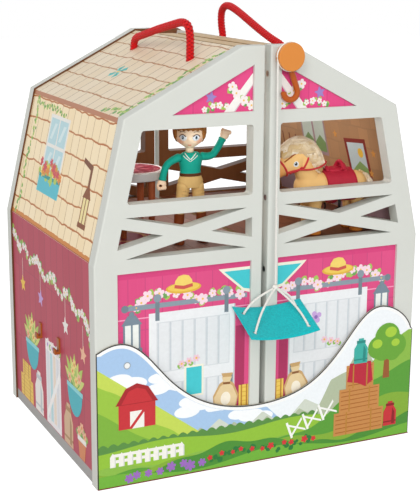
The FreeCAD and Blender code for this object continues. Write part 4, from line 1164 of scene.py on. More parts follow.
@dataclass
class Hoist:
    """The cord that winds on the drum, its gathering knot and the felt sling."""

    shop: Workshop
    top: Point = (5.0, -137.1, 419.4)
    gather: Point = (2.5, -146.3, 192.8)
    gather_radius: float = 2.6
    drum: Point = (18.2, -137.1, 419.4)
    drum_groove: float = 13.4
    drum_turn: float = 0.96
    cord: float = 2.6
    half_width: float = 38.5
    back: float = 5.0
    front: float = 48.0
    back_z: float = 173.0
    drop: float = 21.0
    sag: float = 4.0
    thick: float = 2.0
    hole_inset: float = 8.5
    hole_radius: float = 2.4

    def surface(self, x: float, share: float) -> Vector:
        """A point of the sling's middle surface, from its back edge (0) to its front edge (1)."""
        lower = self.sag * (1 - (x / self.half_width) ** 2)
        reach = self.back + (self.front - self.back) * share
        return Vector((x, FRONT_Y - reach, self.back_z - self.drop * share - lower))

    def holes(self) -> list[Vector]:
        """The middles of the four corner holes."""
        x = self.half_width - self.hole_inset
        share = self.hole_inset / (self.front - self.back)
        return [self.surface(sign * x, s) for sign in (-1, 1) for s in (share, 1 - share)]

    def build(self) -> None:
        """Build the cords, knot and sling."""
        yarn = WHITE_YARN.material()
        low = Vector(self.gather) + Vector((0, 0, self.gather_radius + 0.3))
        top = Vector(self.top)
        path = [top.lerp(low, step / 180) for step in range(181)]
        line = TWIST.cover("hoist_cord_twist", path, yarn)
        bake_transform(line)
        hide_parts("hoist_cord")
        knot = self.gathering_knot(yarn)
        self.shop.place(knot, "sling", "white_cord", replaces=("gather_knot",))
        self.turns_on_drum(yarn)
        cords = [self.sling_cord(number, hole, yarn) for number, hole in enumerate(self.holes())]
        self.felt(cords)

    def gathering_knot(self, yarn: Material) -> Object:
        """The knot where the four sling cords meet."""
        return TWIST.cover("gathering_knot_tied", knot_path(Vector(self.gather), 0.7, 1.6, 60), yarn)

    def turns_on_drum(self, yarn: Material) -> None:
        """The turn of cord that lies in the drum's groove.

        Args:
            yarn: The cord's material.
        """
        path, steps = [], 240
        for step in range(steps + 1):
            t = math.pi - 2 * math.pi * self.drum_turn * step / steps
            x = self.drum[0] + self.drum_groove * math.cos(t)
            z = self.drum[2] + self.drum_groove * math.sin(t)
            path.append(Vector((x, self.drum[1] + 0.3 - 0.8 * step / steps, z)))
        turns = TWIST.cover("cord_turns_on_drum", path, yarn)
        self.shop.place(turns, "winch", "white_cord")

    def sling_cord(self, number: int, hole: Vector, yarn: Material) -> Object:
        """One cord from the gathering knot through a corner of the sling, with its end knot.

        Args:
            number: Its number, from 0.
            hole: The middle of its hole.
            yarn: The cord's material.

        Returns:
            The cord.
        """
        centre = Vector(self.gather)
        start = centre + (hole - centre).normalized() * (self.gather_radius + 0.2)
        middle = (start + hole) / 2 + Vector((0.06 * (hole.x - centre.x), 0, 4.5))
        below = hole - Vector((0, 0, 1.2))
        path = smooth_path([start, middle, hole + Vector((0, 0, 1.0)), below], 60)
        cord = TWIST.cover(f"sling_cord_{number}_twist", path, yarn)
        replaced = ("sling_cords",) if number == 0 else ()
        self.shop.place(cord, "sling", "white_cord", replaces=replaced)
        end = ball(f"sling_cord_{number}_end_knot", below - Vector((0, 0, 1.4)), (2.1, 2.1, 1.7), 16)
        self.shop.place(end, "sling", "white_cord", yarn)
        return cord

    def felt(self, cords: Sequence[Object]) -> None:
        """The sagging felt sheet with soft edges and four punched holes.

        Args:
            cords: The cords that carry it; not used.
        """
        columns, rows = 96, 54
        verts, faces = [], []
        rng = random.Random(5)
        ragged = [rng.uniform(-0.12, 0.12) for _ in range(columns + rows)]
        for lift in (0.5, -0.5):
            for row in range(rows + 1):
                for column in range(columns + 1):
                    x = self.half_width * (2 * column / columns - 1)
                    share = row / rows
                    edge = min(column, columns - column, row, rows - row)
                    place = self.surface(x, share)
                    softened = (0.45, 0.8, 0.95)[edge] if edge < 3 else 1.0
                    place.z += lift * self.thick * softened
                    place.x += ragged[row] if edge == 0 else 0
                    place.y += ragged[column] if edge == 0 else 0
                    verts.append(place)
        size = (columns + 1) * (rows + 1)
        for row in range(rows):
            for column in range(columns):
                a = row * (columns + 1) + column
                quad = (a, a + 1, a + columns + 2, a + columns + 1)
                faces.append(quad)
                faces.append(tuple(size + k for k in reversed(quad)))
        rim = list(range(columns))
        rim += [columns + r * (columns + 1) for r in range(rows)]
        rim += [rows * (columns + 1) + c for c in range(columns, 0, -1)]
        rim += [r * (columns + 1) for r in range(rows, 0, -1)]
        for a, b in zip(rim, rim[1:] + rim[:1]):
            faces.append((b, a, size + a, size + b))
        sheet = mesh_object("felt_sling_sheet", verts, faces)
        tidy_normals(sheet)
        for hole in self.holes():
            through = Vector((0, 0, 2 * self.thick))
            punch(sheet, hole - through, hole + through, self.hole_radius, 24)
        shade(sheet)
        self.shop.place(sheet, "sling", "felt", Finishes.FELT.material(), replaces=("felt_sling",))


# Boards


@dataclass
class Boards:
    """The wooden boards, metal and plain moulded parts, each with its finish."""

    shop: Workshop
    gable_start: float = 5.0
    panel_start: float = 15.0
    panel_mm: float = 3.0

    def build(self) -> None:
        """Dress both halves, then the parts that belong to neither."""
        for side in Side:
            for node, finish in self.looks(side).items():
                self.shop.dress(f"{side.word}_{node}", finish.material())
        for node, finish in {
            "hinge_pins": Finishes.NICKEL, "wall_hooks": Finishes.ABS_BROWN, "winch_axle": Finishes.ABS_RUST,
            "winch_drum": Finishes.ABS_ORANGE, "hoist_hook": Finishes.ABS_RUST, "table_legs": Finishes.STAIN,
        }.items():
            self.shop.dress(node, finish.material())

    def looks(self, side: Side) -> dict[str, Finish]:
        """Choose the finish of each board of a half.

        Args:
            side: The half.

        Returns:
            The node's name without its side, and its finish.
        """
        # Satin paint on plywood: a little warm, with faint roller texture, over a brown stain inside.
        paint = ("D3D5CE", 0.42, "CBCDC6", 24.0, 0.6, 1.2, 0.05)
        front = FrameFinish("satin_paint_front_frame", *paint, inner_y=FRONT_INSIDE)
        rear = FrameFinish("satin_paint_rear_frame", *paint, inner_y=REAR_INSIDE, rear=True)
        floors = {Side.LEFT: ("A4877F", "8B6E68", "6A4F49"), Side.RIGHT: ("7A4A32", "633822", "4A2818")}
        sign, word = side.value, side.word
        # Printed film on board: satin, with planks or shingles drawn by darker seams.
        wall = BoardFinish(
            f"printed_wall_boards_{word}", "BC4E60", 0.45, "B04456", origin=(sign * WALL_X, FRONT_Y, 0),
            u=(0, sign, 0), cell_mm=20.0, seam_mm=0.9, row_mm=84.0, row_line_mm=0.7, seam_colour="96404F",
            row_colour="9E4658",
        )
        steep = BoardFinish(
            f"printed_steep_shingles_{word}", "FDEBC8", 0.45, "F7E0B6",
            origin=(sign * WALL_X, FRONT_Y, STEEP_FOOT), u=(0, sign, 0),
            v=(-sign * STEEP_UP[0], 0, STEEP_UP[1]), cell_mm=20.0, row_mm=23.0, stagger=0.37, seam_mm=0.9,
            row_line_mm=1.7, wave_mm=7.0, wave_length_mm=24.0, seam_colour="B08E62", row_colour="B86C30",
            inside="BE9268", inside_seam="A8835F",
        )
        shallow = BoardFinish(
            f"printed_shallow_shingles_{word}", "EFE0C8", 0.45, "E9D5B4",
            origin=(sign * SHALLOW_X, FRONT_Y, SHALLOW_FOOT), u=(0, sign, 0),
            v=(-sign * SHALLOW_UP[0], 0, SHALLOW_UP[1]), cell_mm=22.0, row_mm=22.5, stagger=0.37, seam_mm=1.0,
            row_line_mm=1.6, wave_mm=7.0, wave_length_mm=24.0, seam_colour="94795A", row_colour="B07A48",
            inside="BE9268", inside_seam="A8835F",
        )
        # Bare plywood: pale, with open grain.
        ridge = BoardFinish(
            f"natural_ply_ridge_{word}", "D9BE93", 0.5, "C9A878", bump=0.08, origin=(0, 0, 428.0),
            v=(0, 1, 0), cell_mm=400.0, seam_mm=0.1, seam_colour="B08A60", inside="BE9268", edge="8A6A48",
        )
        face, shade_colour, seam = floors[side]
        # Printed planks: satin, short and staggered.
        floor = BoardFinish(
            f"printed_floor_planks_{word}", face, 0.5, shade_colour, origin=(0, 0, FLOOR_TOP), u=(0, 1, 0),
            v=(-1, 0, 0), cell_mm=44.0, row_mm=17.0, stagger=0.43, seam_mm=0.6, row_line_mm=0.7,
            seam_colour=seam, row_colour=seam, inside="8F7A62", inside_seam="7A654E", edge="A98F6C",
        )
        # Printed pink panels: strong pink planks with fine dark seams.
        gable = BoardFinish(
            f"printed_pink_gable_{word}", "E4508A", 0.42, "DA4580", bump=0.02,
            origin=(self.gable_start, PANEL_Y, 0), cell_mm=21.0, seam_colour="C83E76", inside="8A5A44",
            edge="B89A78", board_mm=self.panel_mm,
        )
        door = BoardFinish(
            f"printed_pink_doors_{word}", "DE5488", 0.42, "D4487C", bump=0.02,
            origin=(self.panel_start, PANEL_Y, 0), cell_mm=18.0, seam_colour="C4487A", inside="8A5A44",
            edge="B89A78", board_mm=self.panel_mm,
        )
        behind = BoardFinish(
            f"printed_pink_rear_panels_{word}", "DE5488", 0.42, "D4487C", bump=0.02,
            origin=(self.panel_start, REAR_PANEL_Y, 0), u=(-1, 0, 0), cell_mm=18.0, seam_colour="C4487A",
            inside="4A3020", inside_seam="3A2416", edge="B89A78", board_mm=self.panel_mm,
        )
        return {
            "front_frame": front, "rear_frame": rear, "side_wall": wall, "steep_roof": steep,
            "shallow_roof": shallow, "ridge_board": ridge, "base_board": Finishes.EDGE_GREY,
            "upper_floor": floor, "gable_panel": gable, "door_panel": door, "rear_panels": behind,
            "magnets": Finishes.NICKEL, "hinge_leaves": Finishes.NICKEL, "hinge_screws": Finishes.NICKEL,
        }


# Printed artwork

# Ink heights in millimetres: the lowest layer's, and what each further layer and shape adds to it.
BASE_INK = 0.06
LAYER_INK = 0.03
SHAPE_INK = 0.0012
# How far the prints' undersides lie off the board, and how much higher scattered shapes lie.
INK_FOOT = 0.01
SCATTER_INK = 0.0003
SCATTER_STEP = 0.0001


def oval(x: float, y: float, half_x: float, half_y: float, count: int = 20) -> list[Flat]:
    """Points of an ellipse."""
    turns = [2 * math.pi * step / count for step in range(count)]
    return [(x + half_x * math.cos(t), y + half_y * math.sin(t)) for t in turns]


def box(x_low: float, y_low: float, x_high: float, y_high: float) -> list[Flat]:
    """Corners of a rectangle, anticlockwise."""
    return [(x_low, y_low), (x_high, y_low), (x_high, y_high), (x_low, y_high)]


def bloom(petals: int, inner: float) -> list[Flat]:
    """The outline of a flower or, with a low inner share, a star.

    Args:
        petals: How many petals.
        inner: The reach between two petals, where the tips reach 1.

    Returns:
        Its points.
    """
    points = []
    for step in range(petals * 8):
        turn = 2 * math.pi * step / (petals * 8)
        reach = inner + (1.0 - inner) * abs(math.cos(petals * turn / 2)) ** 0.7
        points.append((reach * math.cos(turn), reach * math.sin(turn)))
    return points


def star() -> list[Flat]:
    """The outline of a five-pointed star of unit size with a point upwards."""
    turns = [math.pi / 2 + math.pi * step / 5 for step in range(10)]
    return [((1, 0.48)[k % 2] * math.cos(t), (1, 0.48)[k % 2] * math.sin(t)) for k, t in enumerate(turns)]


def leaf(width: float = 0.42) -> list[Flat]:
    """The outline of a pointed leaf of unit length along x from the origin."""
    upper = [(s / 8, width * math.sin(math.pi * s / 8) ** 0.8) for s in range(9)]
    return upper + [(x, -y) for x, y in reversed(upper[1:-1])]


def clipped(outline: Sequence[Flat], window: Sequence[Flat]) -> list[Flat]:
    """Cut an outline to a convex window.

    Args:
        outline: The points of any simple outline.
        window: The window's corners, anticlockwise.

    Returns:
        The part of the outline inside the window.
    """
    kept = list(outline)
    for (x0, y0), (x1, y1) in zip(window, [*window[1:], window[0]]):
        depths = [(x1 - x0) * (y - y0) - (y1 - y0) * (x - x0) for x, y in kept]
        result = []
        for k, here in enumerate(kept):
            before, was, now = kept[k - 1], depths[k - 1], depths[k]
            if (was >= 0) != (now >= 0):
                t = was / (was - now)
                result.append((before[0] + (here[0] - before[0]) * t, before[1] + (here[1] - before[1]) * t))
            if now >= 0:
                result.append(here)
        kept = result
    return kept


def scatter_group() -> NodeTree:
    """A group that sets copies of a part along a line, each turned, moved and sized by chance.

    Returns:
        The group's tree.
    """
    found = bpy.data.node_groups.get("scattered_along")
    if found is not None:
        return found
    kinds = [
        ("Part", "Object"), ("Spacing", "Float"), ("Scatter", "Float"), ("Size", "Float"), ("Seed", "Int")
    ]
    tree, given = geometry_group("scattered_along", kinds + [("Material", "Material")])
    out = given.outputs
    line = add_node(tree, "GeometryNodeMeshToCurve", {0: out["Geometry"]})
    spaced = add_node(
        tree, "GeometryNodeResampleCurve", {"Curve": line, "Length": out["Spacing"]}, mode="LENGTH"
    )
    ends = {0: (-1.0, -1.0, 0.0), 1: (1.0, 1.0, 0.0), "Seed": out["Seed"]}
    chance = add_node(tree, "FunctionNodeRandomValue", ends, data_type="FLOAT_VECTOR")
    shift = add_node(tree, "VectorMath", {0: chance.outputs[0], "Scale": out["Scatter"]}, operation="SCALE")
    number = add_node(
        tree, "Math", {0: add_node(tree, "GeometryNodeInputIndex"), 1: SHAPE_INK * MM}, operation="MULTIPLY"
    )
    lifted = add_node(tree, "VectorMath", {0: shift, 1: add_node(tree, "CombineXYZ", {2: number})})
    moved = add_node(tree, "GeometryNodeSetPosition", {"Geometry": spaced, "Offset": lifted})
    later = add_node(tree, "Math", {0: out["Seed"], 1: 7.0})
    spin = add_node(
        tree, "FunctionNodeRandomValue", {2: 0.0, 3: 2 * math.pi, "Seed": later}, data_type="FLOAT"
    )
    turn = add_node(tree, "CombineXYZ", {2: spin.outputs[1]})
    grown = add_node(
        tree, "FunctionNodeRandomValue", {2: 0.75, 3: 1.25, "Seed": out["Seed"]}, data_type="FLOAT"
    )
    size = add_node(tree, "Math", {0: grown.outputs[1], 1: out["Size"]}, operation="MULTIPLY")
    part = add_node(tree, "GeometryNodeObjectInfo", {0: out["Part"]}, transform_space="ORIGINAL")
    wide = add_node(tree, "CombineXYZ", {0: size, 1: size, 2: 1.0})
    copies = add_node(
        tree, "GeometryNodeInstanceOnPoints",
        {"Points": moved, "Instance": part.outputs["Geometry"], "Rotation": turn, "Scale": wide},
    )
    close_group(tree, copies, out["Material"])
    return tree


@dataclass(frozen=True)
class Plane:
    """A printed face: its origin and two directions, in millimetres."""

    origin: Point
    u: Point
    v: Point

    def matrix(self) -> Matrix:
        """The turn and shift from the face's own place to the scene's, in metres."""
        u, v = Vector(self.u), Vector(self.v)
        turn = Matrix((u, v, u.cross(v))).transposed().to_4x4()
        return Matrix.Translation(Vector(self.origin) * MM) @ turn


@dataclass
class PrintSheet:
    """Flat inked shapes on one face, as thin closed prisms in layers."""

    name: str
    plane: Plane
    window: Sequence[Flat]
    flip: float = 1.0
    shapes: list[tuple[list[Flat], str, int]] = field(default_factory=list)
    extras: list[Object] = field(default_factory=list)

    def shape(self, outline: Sequence[Flat], colour: str, layer: int = 1) -> None:
        """Print an outline in a colour, cut to the window."""
        cut = clipped(outline, self.window)
        if len(cut) >= 3:
            self.shapes.append(([(self.flip * x, y) for x, y in cut], colour, layer))

    def prisms(self, name: str, shapes: Sequence[tuple[list[Flat], str, int]], lift: float = 0.0) -> Object:
        """Make one object of thin prisms with an ink a colour, each at a height of its own.

        Args:
            name: The object's name.
            shapes: Outline, colour and layer of each.
            lift: A further height for all.

        Returns:
            The object.
        """
        verts: list[Point] = []
        faces: list[Sequence[int]] = []
        inks: list[int] = []
        colours: list[str] = []
        for order, (outline, colour, layer) in enumerate(shapes):
            if colour not in colours:
                colours.append(colour)
            start, count = len(verts), len(outline)
            top = BASE_INK + LAYER_INK * layer + SHAPE_INK * order + lift
            verts += [(x, y, INK_FOOT) for x, y in outline] + [(x, y, top) for x, y in outline]
            new: list[Sequence[int]] = []
            for corners_of in tessellate_polygon([[Vector((x, y, 0)) for x, y in outline]]):
                new.append([start + count + k for k in corners_of])
                new.append([start + k for k in reversed(corners_of)])
            for k in range(count):
                after = (k + 1) % count
                new.append((start + k, start + after, start + count + after, start + count + k))
            faces += new
            inks += [colours.index(colour)] * len(new)
        obj = mesh_object(name, verts, faces)
        for colour in colours:
            obj.data.materials.append(ink(colour))
        obj.data.polygons.foreach_set("material_index", inks)
        tidy_normals(obj, 0)
        return obj

    def scatter(
        self, path: Sequence[Flat], outline: Sequence[Flat], colour: str, spacing: float, size: float,
        seed: int, layer: int = 2, spread: float = 1.5,
    ) -> None:
        """Set copies of a small outline along a path.

        Args:
            path: Control points of a smooth line.
            outline: The small shape at unit size.
            colour: Its ink.
            spacing: Steps along the path.
            size: The size of a copy.
            seed: The seed of the turns and shifts.
            layer: The print layer.
            spread: How far a copy may move off the path.
        """
        lift = SCATTER_INK + SCATTER_STEP * (len(self.extras) % 8)
        part = self.prisms("part", [(list(outline), colour, layer)], lift)
        points = smooth_path([(self.flip * x, y, 0) for x, y in path], 40)
        line = line_object(f"{self.name}_line", [points])
        grow(
            line, scatter_group(), Part=part, Spacing=spacing * MM, Scatter=spread * MM, Size=float(size),
            Seed=seed, Material=ink(colour),
        )
        bpy.data.objects.remove(part)
        self.extras.append(line)

    def garland(self, path: Sequence[Flat], seed: int, size: float = 1.0, petal: str = PETAL_WHITE) -> None:
        """Leaves along a path, and blossoms where a petal colour is given.

        Args:
            path: Control points.
            seed: The seed of its turns.
            size: The size of leaves and blossoms.
            petal: The petals' ink, or nothing for leaves only.
        """
        self.scatter(path, leaf(), LEAF_YELLOW, 6.0 * size, 6.5 * size, seed, 1, 1.5 * size)
        self.scatter(path, leaf(), LEAF_DARK, 8.0 * size, 6.0 * size, seed + 1, 2, 2.0 * size)
        if not petal:
            return
        self.scatter(path, bloom(5, 0.62), petal, 8.5 * size, 4.5 * size, seed + 2, 3, 1.8 * size)
        self.scatter(path, oval(0, 0, 0.2, 0.2, 10), POLLEN, 8.5 * size, 4.5 * size, seed + 2, 4, 1.8 * size)

    def build(self, shop: Workshop, body: str, slot: str) -> None:
        """Turn the sheet onto its face and put it on its body.

        Args:
            shop: The workshop.
            body: The CAD body that the sheet rides on.
            slot: The record's material slot.
        """
        flat = self.prisms(self.name, self.shapes)
        whole = join(self.name, [flat, *self.extras])
        whole.data.transform(self.plane.matrix())
        tidy_normals(whole, 0)
        shade(whole, False)
        shop.place(whole, body, slot)


@dataclass(frozen=True)
class Stamp:
    """Where a motif goes on its sheet, with its size and turn."""

    sheet: PrintSheet
    x: float
    y: float
    size: float = 1.0
    turn: float = 0.0
    layer: int = 2

    def put(self, outline: Sequence[Flat], colour: str, up: int = 0) -> None:
        """Print one outline of the motif."""
        c, s = math.cos(self.turn) * self.size, math.sin(self.turn) * self.size
        moved = [(self.x + a * c - b * s, self.y + a * s + b * c) for a, b in outline]
        self.sheet.shape(moved, colour, self.layer + up)

    def flower(self, petal: str, eye: str = POLLEN, petals: int = 6) -> None:
        """A flower of unit radius."""
        self.put(bloom(petals, 0.5), petal)
        self.put(oval(0, 0, 0.3, 0.3, 12), eye, 1)

    def blossoms(self, places: Sequence[Flat], petals: Sequence[str]) -> None:
        """Small flowers of two petal colours, chosen by the place across.

        Args:
            places: Their middles.
            petals: The two inks.
        """
        for x, y in places:
            self.put([(x + a * 4.6, y + b * 4.6) for a, b in bloom(6, 0.5)], petals[int(x) % 2], 1)
            self.put(oval(x, y, 1.4, 1.4, 10), "E08A3C", 2)

    def pot(self, colour: str, flower: str) -> None:
        """A pot 20 high with three flowers over leaves.

        Args:
            colour: The pot's ink.
            flower: The petals' ink.
        """
        for k, (x, y) in enumerate(((-7, 20), (0, 24), (7, 20), (-3, 17), (4, 17))):
            self.put([(x + a * 7, y + b * 7) for a, b in leaf()], (LEAF_GREEN, LEAF_DARK)[k % 2])
            self.put([(x - a * 7, y + b * 7) for a, b in leaf()], (LEAF_DARK, LEAF_YELLOW)[k % 2])
        self.blossoms(((-6.5, 21), (0, 26), (6.5, 21)), (flower, flower))
        self.put([(-6, 0), (6, 0), (9, 16), (-9, 16)], colour, 1)
        self.put(box(-10, 14, 10, 18), CREAM_WHITE, 2)

    def basket(self, colour: str) -> None:
        """A hanging half-round basket 34 wide with leaves and flowers over it.

        Args:
            colour: The bowl's ink.
        """
        for k in range(15):
            turn = 0.3 + 0.18 * k
            length = (17, 25, 20, 28)[k % 4]
            c, s = math.cos(turn), math.sin(turn)
            self.put(
                [
                    (a * length * c - b * length * s, 2 + a * length * s + b * length * c)
                    for a, b in leaf(0.13)
                ],
                (LEAF_GREEN, "D3DC7A", LEAF_DARK, "B5CF62")[k % 4],
            )
        self.blossoms(((-11, 8), (-4, 15), (4, 9), (11, 13), (0, 21)), ("F4D98A", PEACH))
        bowl = [(17 * math.cos(t), 2 + 22 * math.sin(t)) for t in np.linspace(math.pi, 2 * math.pi, 20)]
        self.put(bowl, colour, 1)
        self.put(box(-18, 0, 18, 3.5), "8ED8DE", 2)

    def lantern(self, metal: str, light: str) -> None:
        """A stable lantern 34 high.

        Args:
            metal: The metal's ink.
            light: The glass's ink.
        """
        self.put([(-9, 24), (9, 24), (3.5, 32), (-3.5, 32)], metal)
        self.put(oval(0, 33, 2.4, 2.4, 12), metal, 1)
        self.put(box(-7, 4, 7, 24), light)
        for x in (-7.5, -0.8, 5.9):
            self.put(box(x, 4, x + 1.6, 24), metal, 1)
        self.put(box(-9, 0, 9, 4), metal)

    def window(self, planter: str) -> None:
        """A white window 56 wide and 60 high with plain panes and a flower box.

        Args:
            planter: The flower box's ink.
        """
        self.put(box(-25, 6, 25, 60), CREAM_WHITE)
        for x in (-22, 1.2):
            for y in (10, 35):
                self.put(box(x, y, x + 20.8, y + 22), "BFE0E6", 1)
                self.put([(x + 3, y + 4), (x + 9, y + 4), (x + 17, y + 18), (x + 11, y + 18)], "DDF0F2", 2)
        self.put(box(-28, -8, 28, 8), planter, 2)
        self.put(box(-28, 5, 28, 8), "2C9A98", 3)

    def sack(self, cloth: str, dark: str) -> None:
        """A tied feed sack 52 high.

        Args:
            cloth: The cloth's ink.
            dark: Its outline's ink.
        """
        for share, colour, up in ((1.0, dark, 0), (0.9, cloth, 1)):
            outline = (
                (-15, 0), (15, 0), (18, 22), (10, 38), (4, 42), (8, 52), (-8, 52), (-4, 42), (-10, 38),
                (-18, 22),
            )
            self.put([(x * share, 2 + y * share) for x, y in outline], colour, up)
        self.put(box(-5, 39, 5, 42), "8A5A34", 2)
        self.put(oval(0, 20, 7, 9, 20), "FBF1DC", 2)

    def hay(self, width: float, height: float, straw: str = "EFCB5E", dark: str = "DDB146") -> None:
        """A bale of straw with two bands.

        Args:
            width: Its width.
            height: Its height.
            straw: The straw's ink.
            dark: The stalks' ink.
        """
        self.put(box(0, 0, width, height), straw)
        for k in range(5):
            y = height * (k + 0.6) / 5.4
            self.put([(2, y), (width - 2, y + 0.8), (width - 2, y + 1.7), (2, y + 1.1)], dark, 1)
        for share in (0.25, 0.75):
            self.put(box(width * share - 0.8, 0, width * share + 0.8, height), "B98236", 2)

    def fence(self, width: float, height: float, pickets: int) -> None:
        """A picket fence.

        Args:
            width: Its width.
            height: Its height.
            pickets: How many pickets.
        """
        for share in (0.28, 0.7):
            self.put(box(0, height * share, width, height * share + 3.2), CREAM_WHITE)
        for k in range(pickets):
            x = width * k / (pickets - 1)
            points = [(x - 3, 0), (x + 3, 0), (x + 3, height - 4), (x, height), (x - 3, height - 4)]
            self.put(points, CREAM_WHITE, 1)
            self.put(box(x + 1.8, 0, x + 3, height - 4), "D9DAD6", 2)

    def can(self, colour: str, dark: str) -> None:
        """A milk can 40 high.

        Args:
            colour: The can's ink.
            dark: Its shade.
        """
        self.put([(-11, 0), (11, 0), (11, 22), (6, 30), (-6, 30), (-11, 22)], colour)
        self.put(box(-7, 30, 7, 34), dark, 1)
        self.put(box(-4, 34, 4, 37), colour, 1)
        self.put(box(-11, 5, 11, 7), dark, 1)
        self.put([(3, 2), (8, 2), (8, 20), (4, 27)], dark, 1)

    def tree(self, trunk: str, crown: str, light: str) -> None:
        """A round tree 60 high.

        Args:
            trunk: The trunk's ink.
            crown: The leaves' ink.
            light: Their lights.
        """
        self.put([(-4, 0), (4, 0), (2.4, 30), (-2.4, 30)], trunk)
        for x, y, r in ((-11, 34, 12), (11, 34, 12), (0, 44, 15), (-5, 30, 11), (7, 28, 10)):
            self.put(oval(x, y, r, r, 22), crown, 1)
        for x, y, r in ((-12, 38, 6), (4, 49, 7), (10, 37, 5)):
            self.put(oval(x, y, r, r * 0.8, 18), light, 2)


@dataclass
class HalfPrints:
    """The printed artwork on the outer boards of one half."""

    shop: Workshop
    side: Side

    def outer_sheet(self, name: str, x: float, z: float, up: Flat, window: Sequence[Flat]) -> PrintSheet:
        """A sheet on a wall or roof, read from left to right as seen from outside.

        Args:
            name: The sheet's name without the side.
            x: The board's foot, counted from the seam.
            z: The foot's height.
            up: How far the board runs inwards and upwards, at unit length.
            window: The limits of its print.

        Returns:
            The empty sheet.
        """
        sign = self.side.value
        start = (sign * x, REAR_INSIDE if sign < 0 else FRONT_INSIDE, z)
        return PrintSheet(
            f"{self.side.word}_{name}", Plane(start, (0, sign, 0), (-sign * up[0], 0, up[1])), window
        )

    def front_sheet(self, name: str, window: Sequence[Flat]) -> PrintSheet:
        """A sheet on a front panel, mirrored at the seam."""
        plane = Plane((0, PANEL_Y, 0), (1, 0, 0), (0, 0, 1))
        return PrintSheet(f"{self.side.word}_{name}", plane, window, self.side.value)

    def build(self) -> None:
        """Print the boards from the wall up, then the front panels."""
        for board in (self.wall, self.steep, self.shallow, self.gable, self.door):
            board()

    def wall(self) -> None:
        """Garlands, stars, pots, a fence, straw and a can on a side wall."""
        sheet = self.outer_sheet("wall_print", WALL_X, 0, (0, 1), box(0.5, 12.5, 265.5, 226))
        swags = (
            (4, 205), (24, 186), (46, 200), (66, 178), (92, 196), (118, 172), (146, 190), (170, 166),
            (196, 184),
        )
        sheet.garland([*swags, (222, 160), (244, 176), (262, 150)], 11, 1.15)
        for k, (x, y) in enumerate(((36, 150), (102, 150), (186, 142), (240, 128))):
            sheet.shape(box(x - 0.4, y, x + 0.4, y + 30), "E9DCD2", 1)
            Stamp(sheet, x, y, 10.0, 0.15 * (-1) ** k).put(star(), (GOLD, LILAC, CREAM_WHITE, PEACH)[k])
        for x, y in ((66, 84), (212, 80)):
            Stamp(sheet, x, y, 1.35, layer=3).basket("46B8C4")
        gate = Stamp(sheet, 116, 13, 1.0, layer=3)
        gate.put(box(0, 0, 50, 96), "F4F1F2")
        for k in range(4):
            gate.put(box(4 + 11 * k, 6, 12 + 11 * k, 88), ("E4E6EA", "BFE3E8", "F3E3D2", "E4E6EA")[k], 1)
        gate.put([(0, 0), (50, 66), (50, 76), (0, 10)], "FBFAF8", 2)
        gate.put(box(0, 84, 50, 92), "FBFAF8", 2)
        for x, turn in ((8, 0.4), (24, 2.2), (42, 1.0)):
            Stamp(sheet, 116 + x, 104, 7.5, turn, layer=6).flower(PETAL_WHITE, "B79AD0", 6)
            Stamp(sheet, 120 + x, 101, 9.0, turn, layer=5).put(leaf(), LEAF_GREEN)
        Stamp(sheet, 18, 13, layer=3).hay(46, 26)
        Stamp(sheet, 26, 39, layer=3).hay(30, 18)
        Stamp(sheet, 88, 13, 1.3, layer=3).can("F1EFEA", "C9D0D4")
        Stamp(sheet, 190, 13, 1.25, layer=3).can("D8B894", "B08A60")
        Stamp(sheet, 232, 13, 1.3, layer=3).pot("D98A5A", PEACH)
        sheet.build(self.shop, self.side.body, "wall_print")

    def steep(self) -> None:
        """Trims, a window, a vine and a lantern on a steep roof."""
        window = box(0.3, 0.3, 265.7, 141.5)
        sheet = self.outer_sheet("steep_roof_print", WALL_X, STEEP_FOOT, STEEP_UP, window)
        rng = random.Random(3)
        ragged = [(266 - k * 4, rng.uniform(4.6, 5.8)) for k in range(68)]
        sheet.shape([(-2, 0), (266, 0), *ragged], "D58A42", 1)
        sheet.shape(box(-2, 0, 266, 1.2), "A34A34", 2)
        sheet.shape(box(0, 136.5, 266, 142), "BE8160", 1)
        Stamp(sheet, 104, 48, 1.25).window("5CC4D4")
        for seed, colour in ((21, GOLD), (22, "E28A3C"), (23, "D24E5C")):
            sheet.scatter([(76, 66), (104, 68), (132, 66)], bloom(6, 0.5), colour, 11.0, 5.6, seed, 6, 6.0)
        sheet.scatter([(74, 61), (104, 62), (134, 61)], leaf(), "B9CE5E", 2.6, 10.0, 24, 5, 4.0)
        sheet.garland([(10, 6), (24, 34), (12, 66), (28, 98), (18, 132)], 31, 0.75, "")
        sheet.garland([(18, 132), (50, 126), (84, 131), (116, 124)], 35, 0.6, "")
        lantern = Stamp(sheet, 222, 26, 1.25)
        lantern.put([(-2, 34), (2, 34), (2, 50), (-20, 54), (-20, 50), (-2, 46)], "7A4526")
        lantern.lantern("8A4E2A", "F8E7A8")
        sheet.build(self.shop, self.side.body, "roof_print")

    def shallow(self) -> None:
        """Leafy edges and a pinwheel on a shallow roof."""
        window = box(0.3, 1.2, 265.7, 128)
        sheet = self.outer_sheet("shallow_roof_print", SHALLOW_X, SHALLOW_FOOT, SHALLOW_UP, window)
        sheet.garland([(260, 8), (250, 34), (258, 62), (247, 90), (256, 122)], 41, 0.9, "")
        sheet.garland([(262, 7), (236, 9), (214, 6)], 45, 0.9, "")
        for k in range(4):
            blade = Stamp(sheet, 118, 62, 13.0, math.pi / 2 * k + 0.4)
            blade.put([(0, 0), (1, 0.05), (0.75, 0.55)], "35B5B0")
            blade.put([(0, 0), (0.75, 0.55), (0.3, 0.45)], "7FD3CE", 1)
        Stamp(sheet, 118, 62, 2.0, layer=4).put(oval(0, 0, 1, 1), GOLD)
        sheet.build(self.shop, self.side.body, "roof_print")

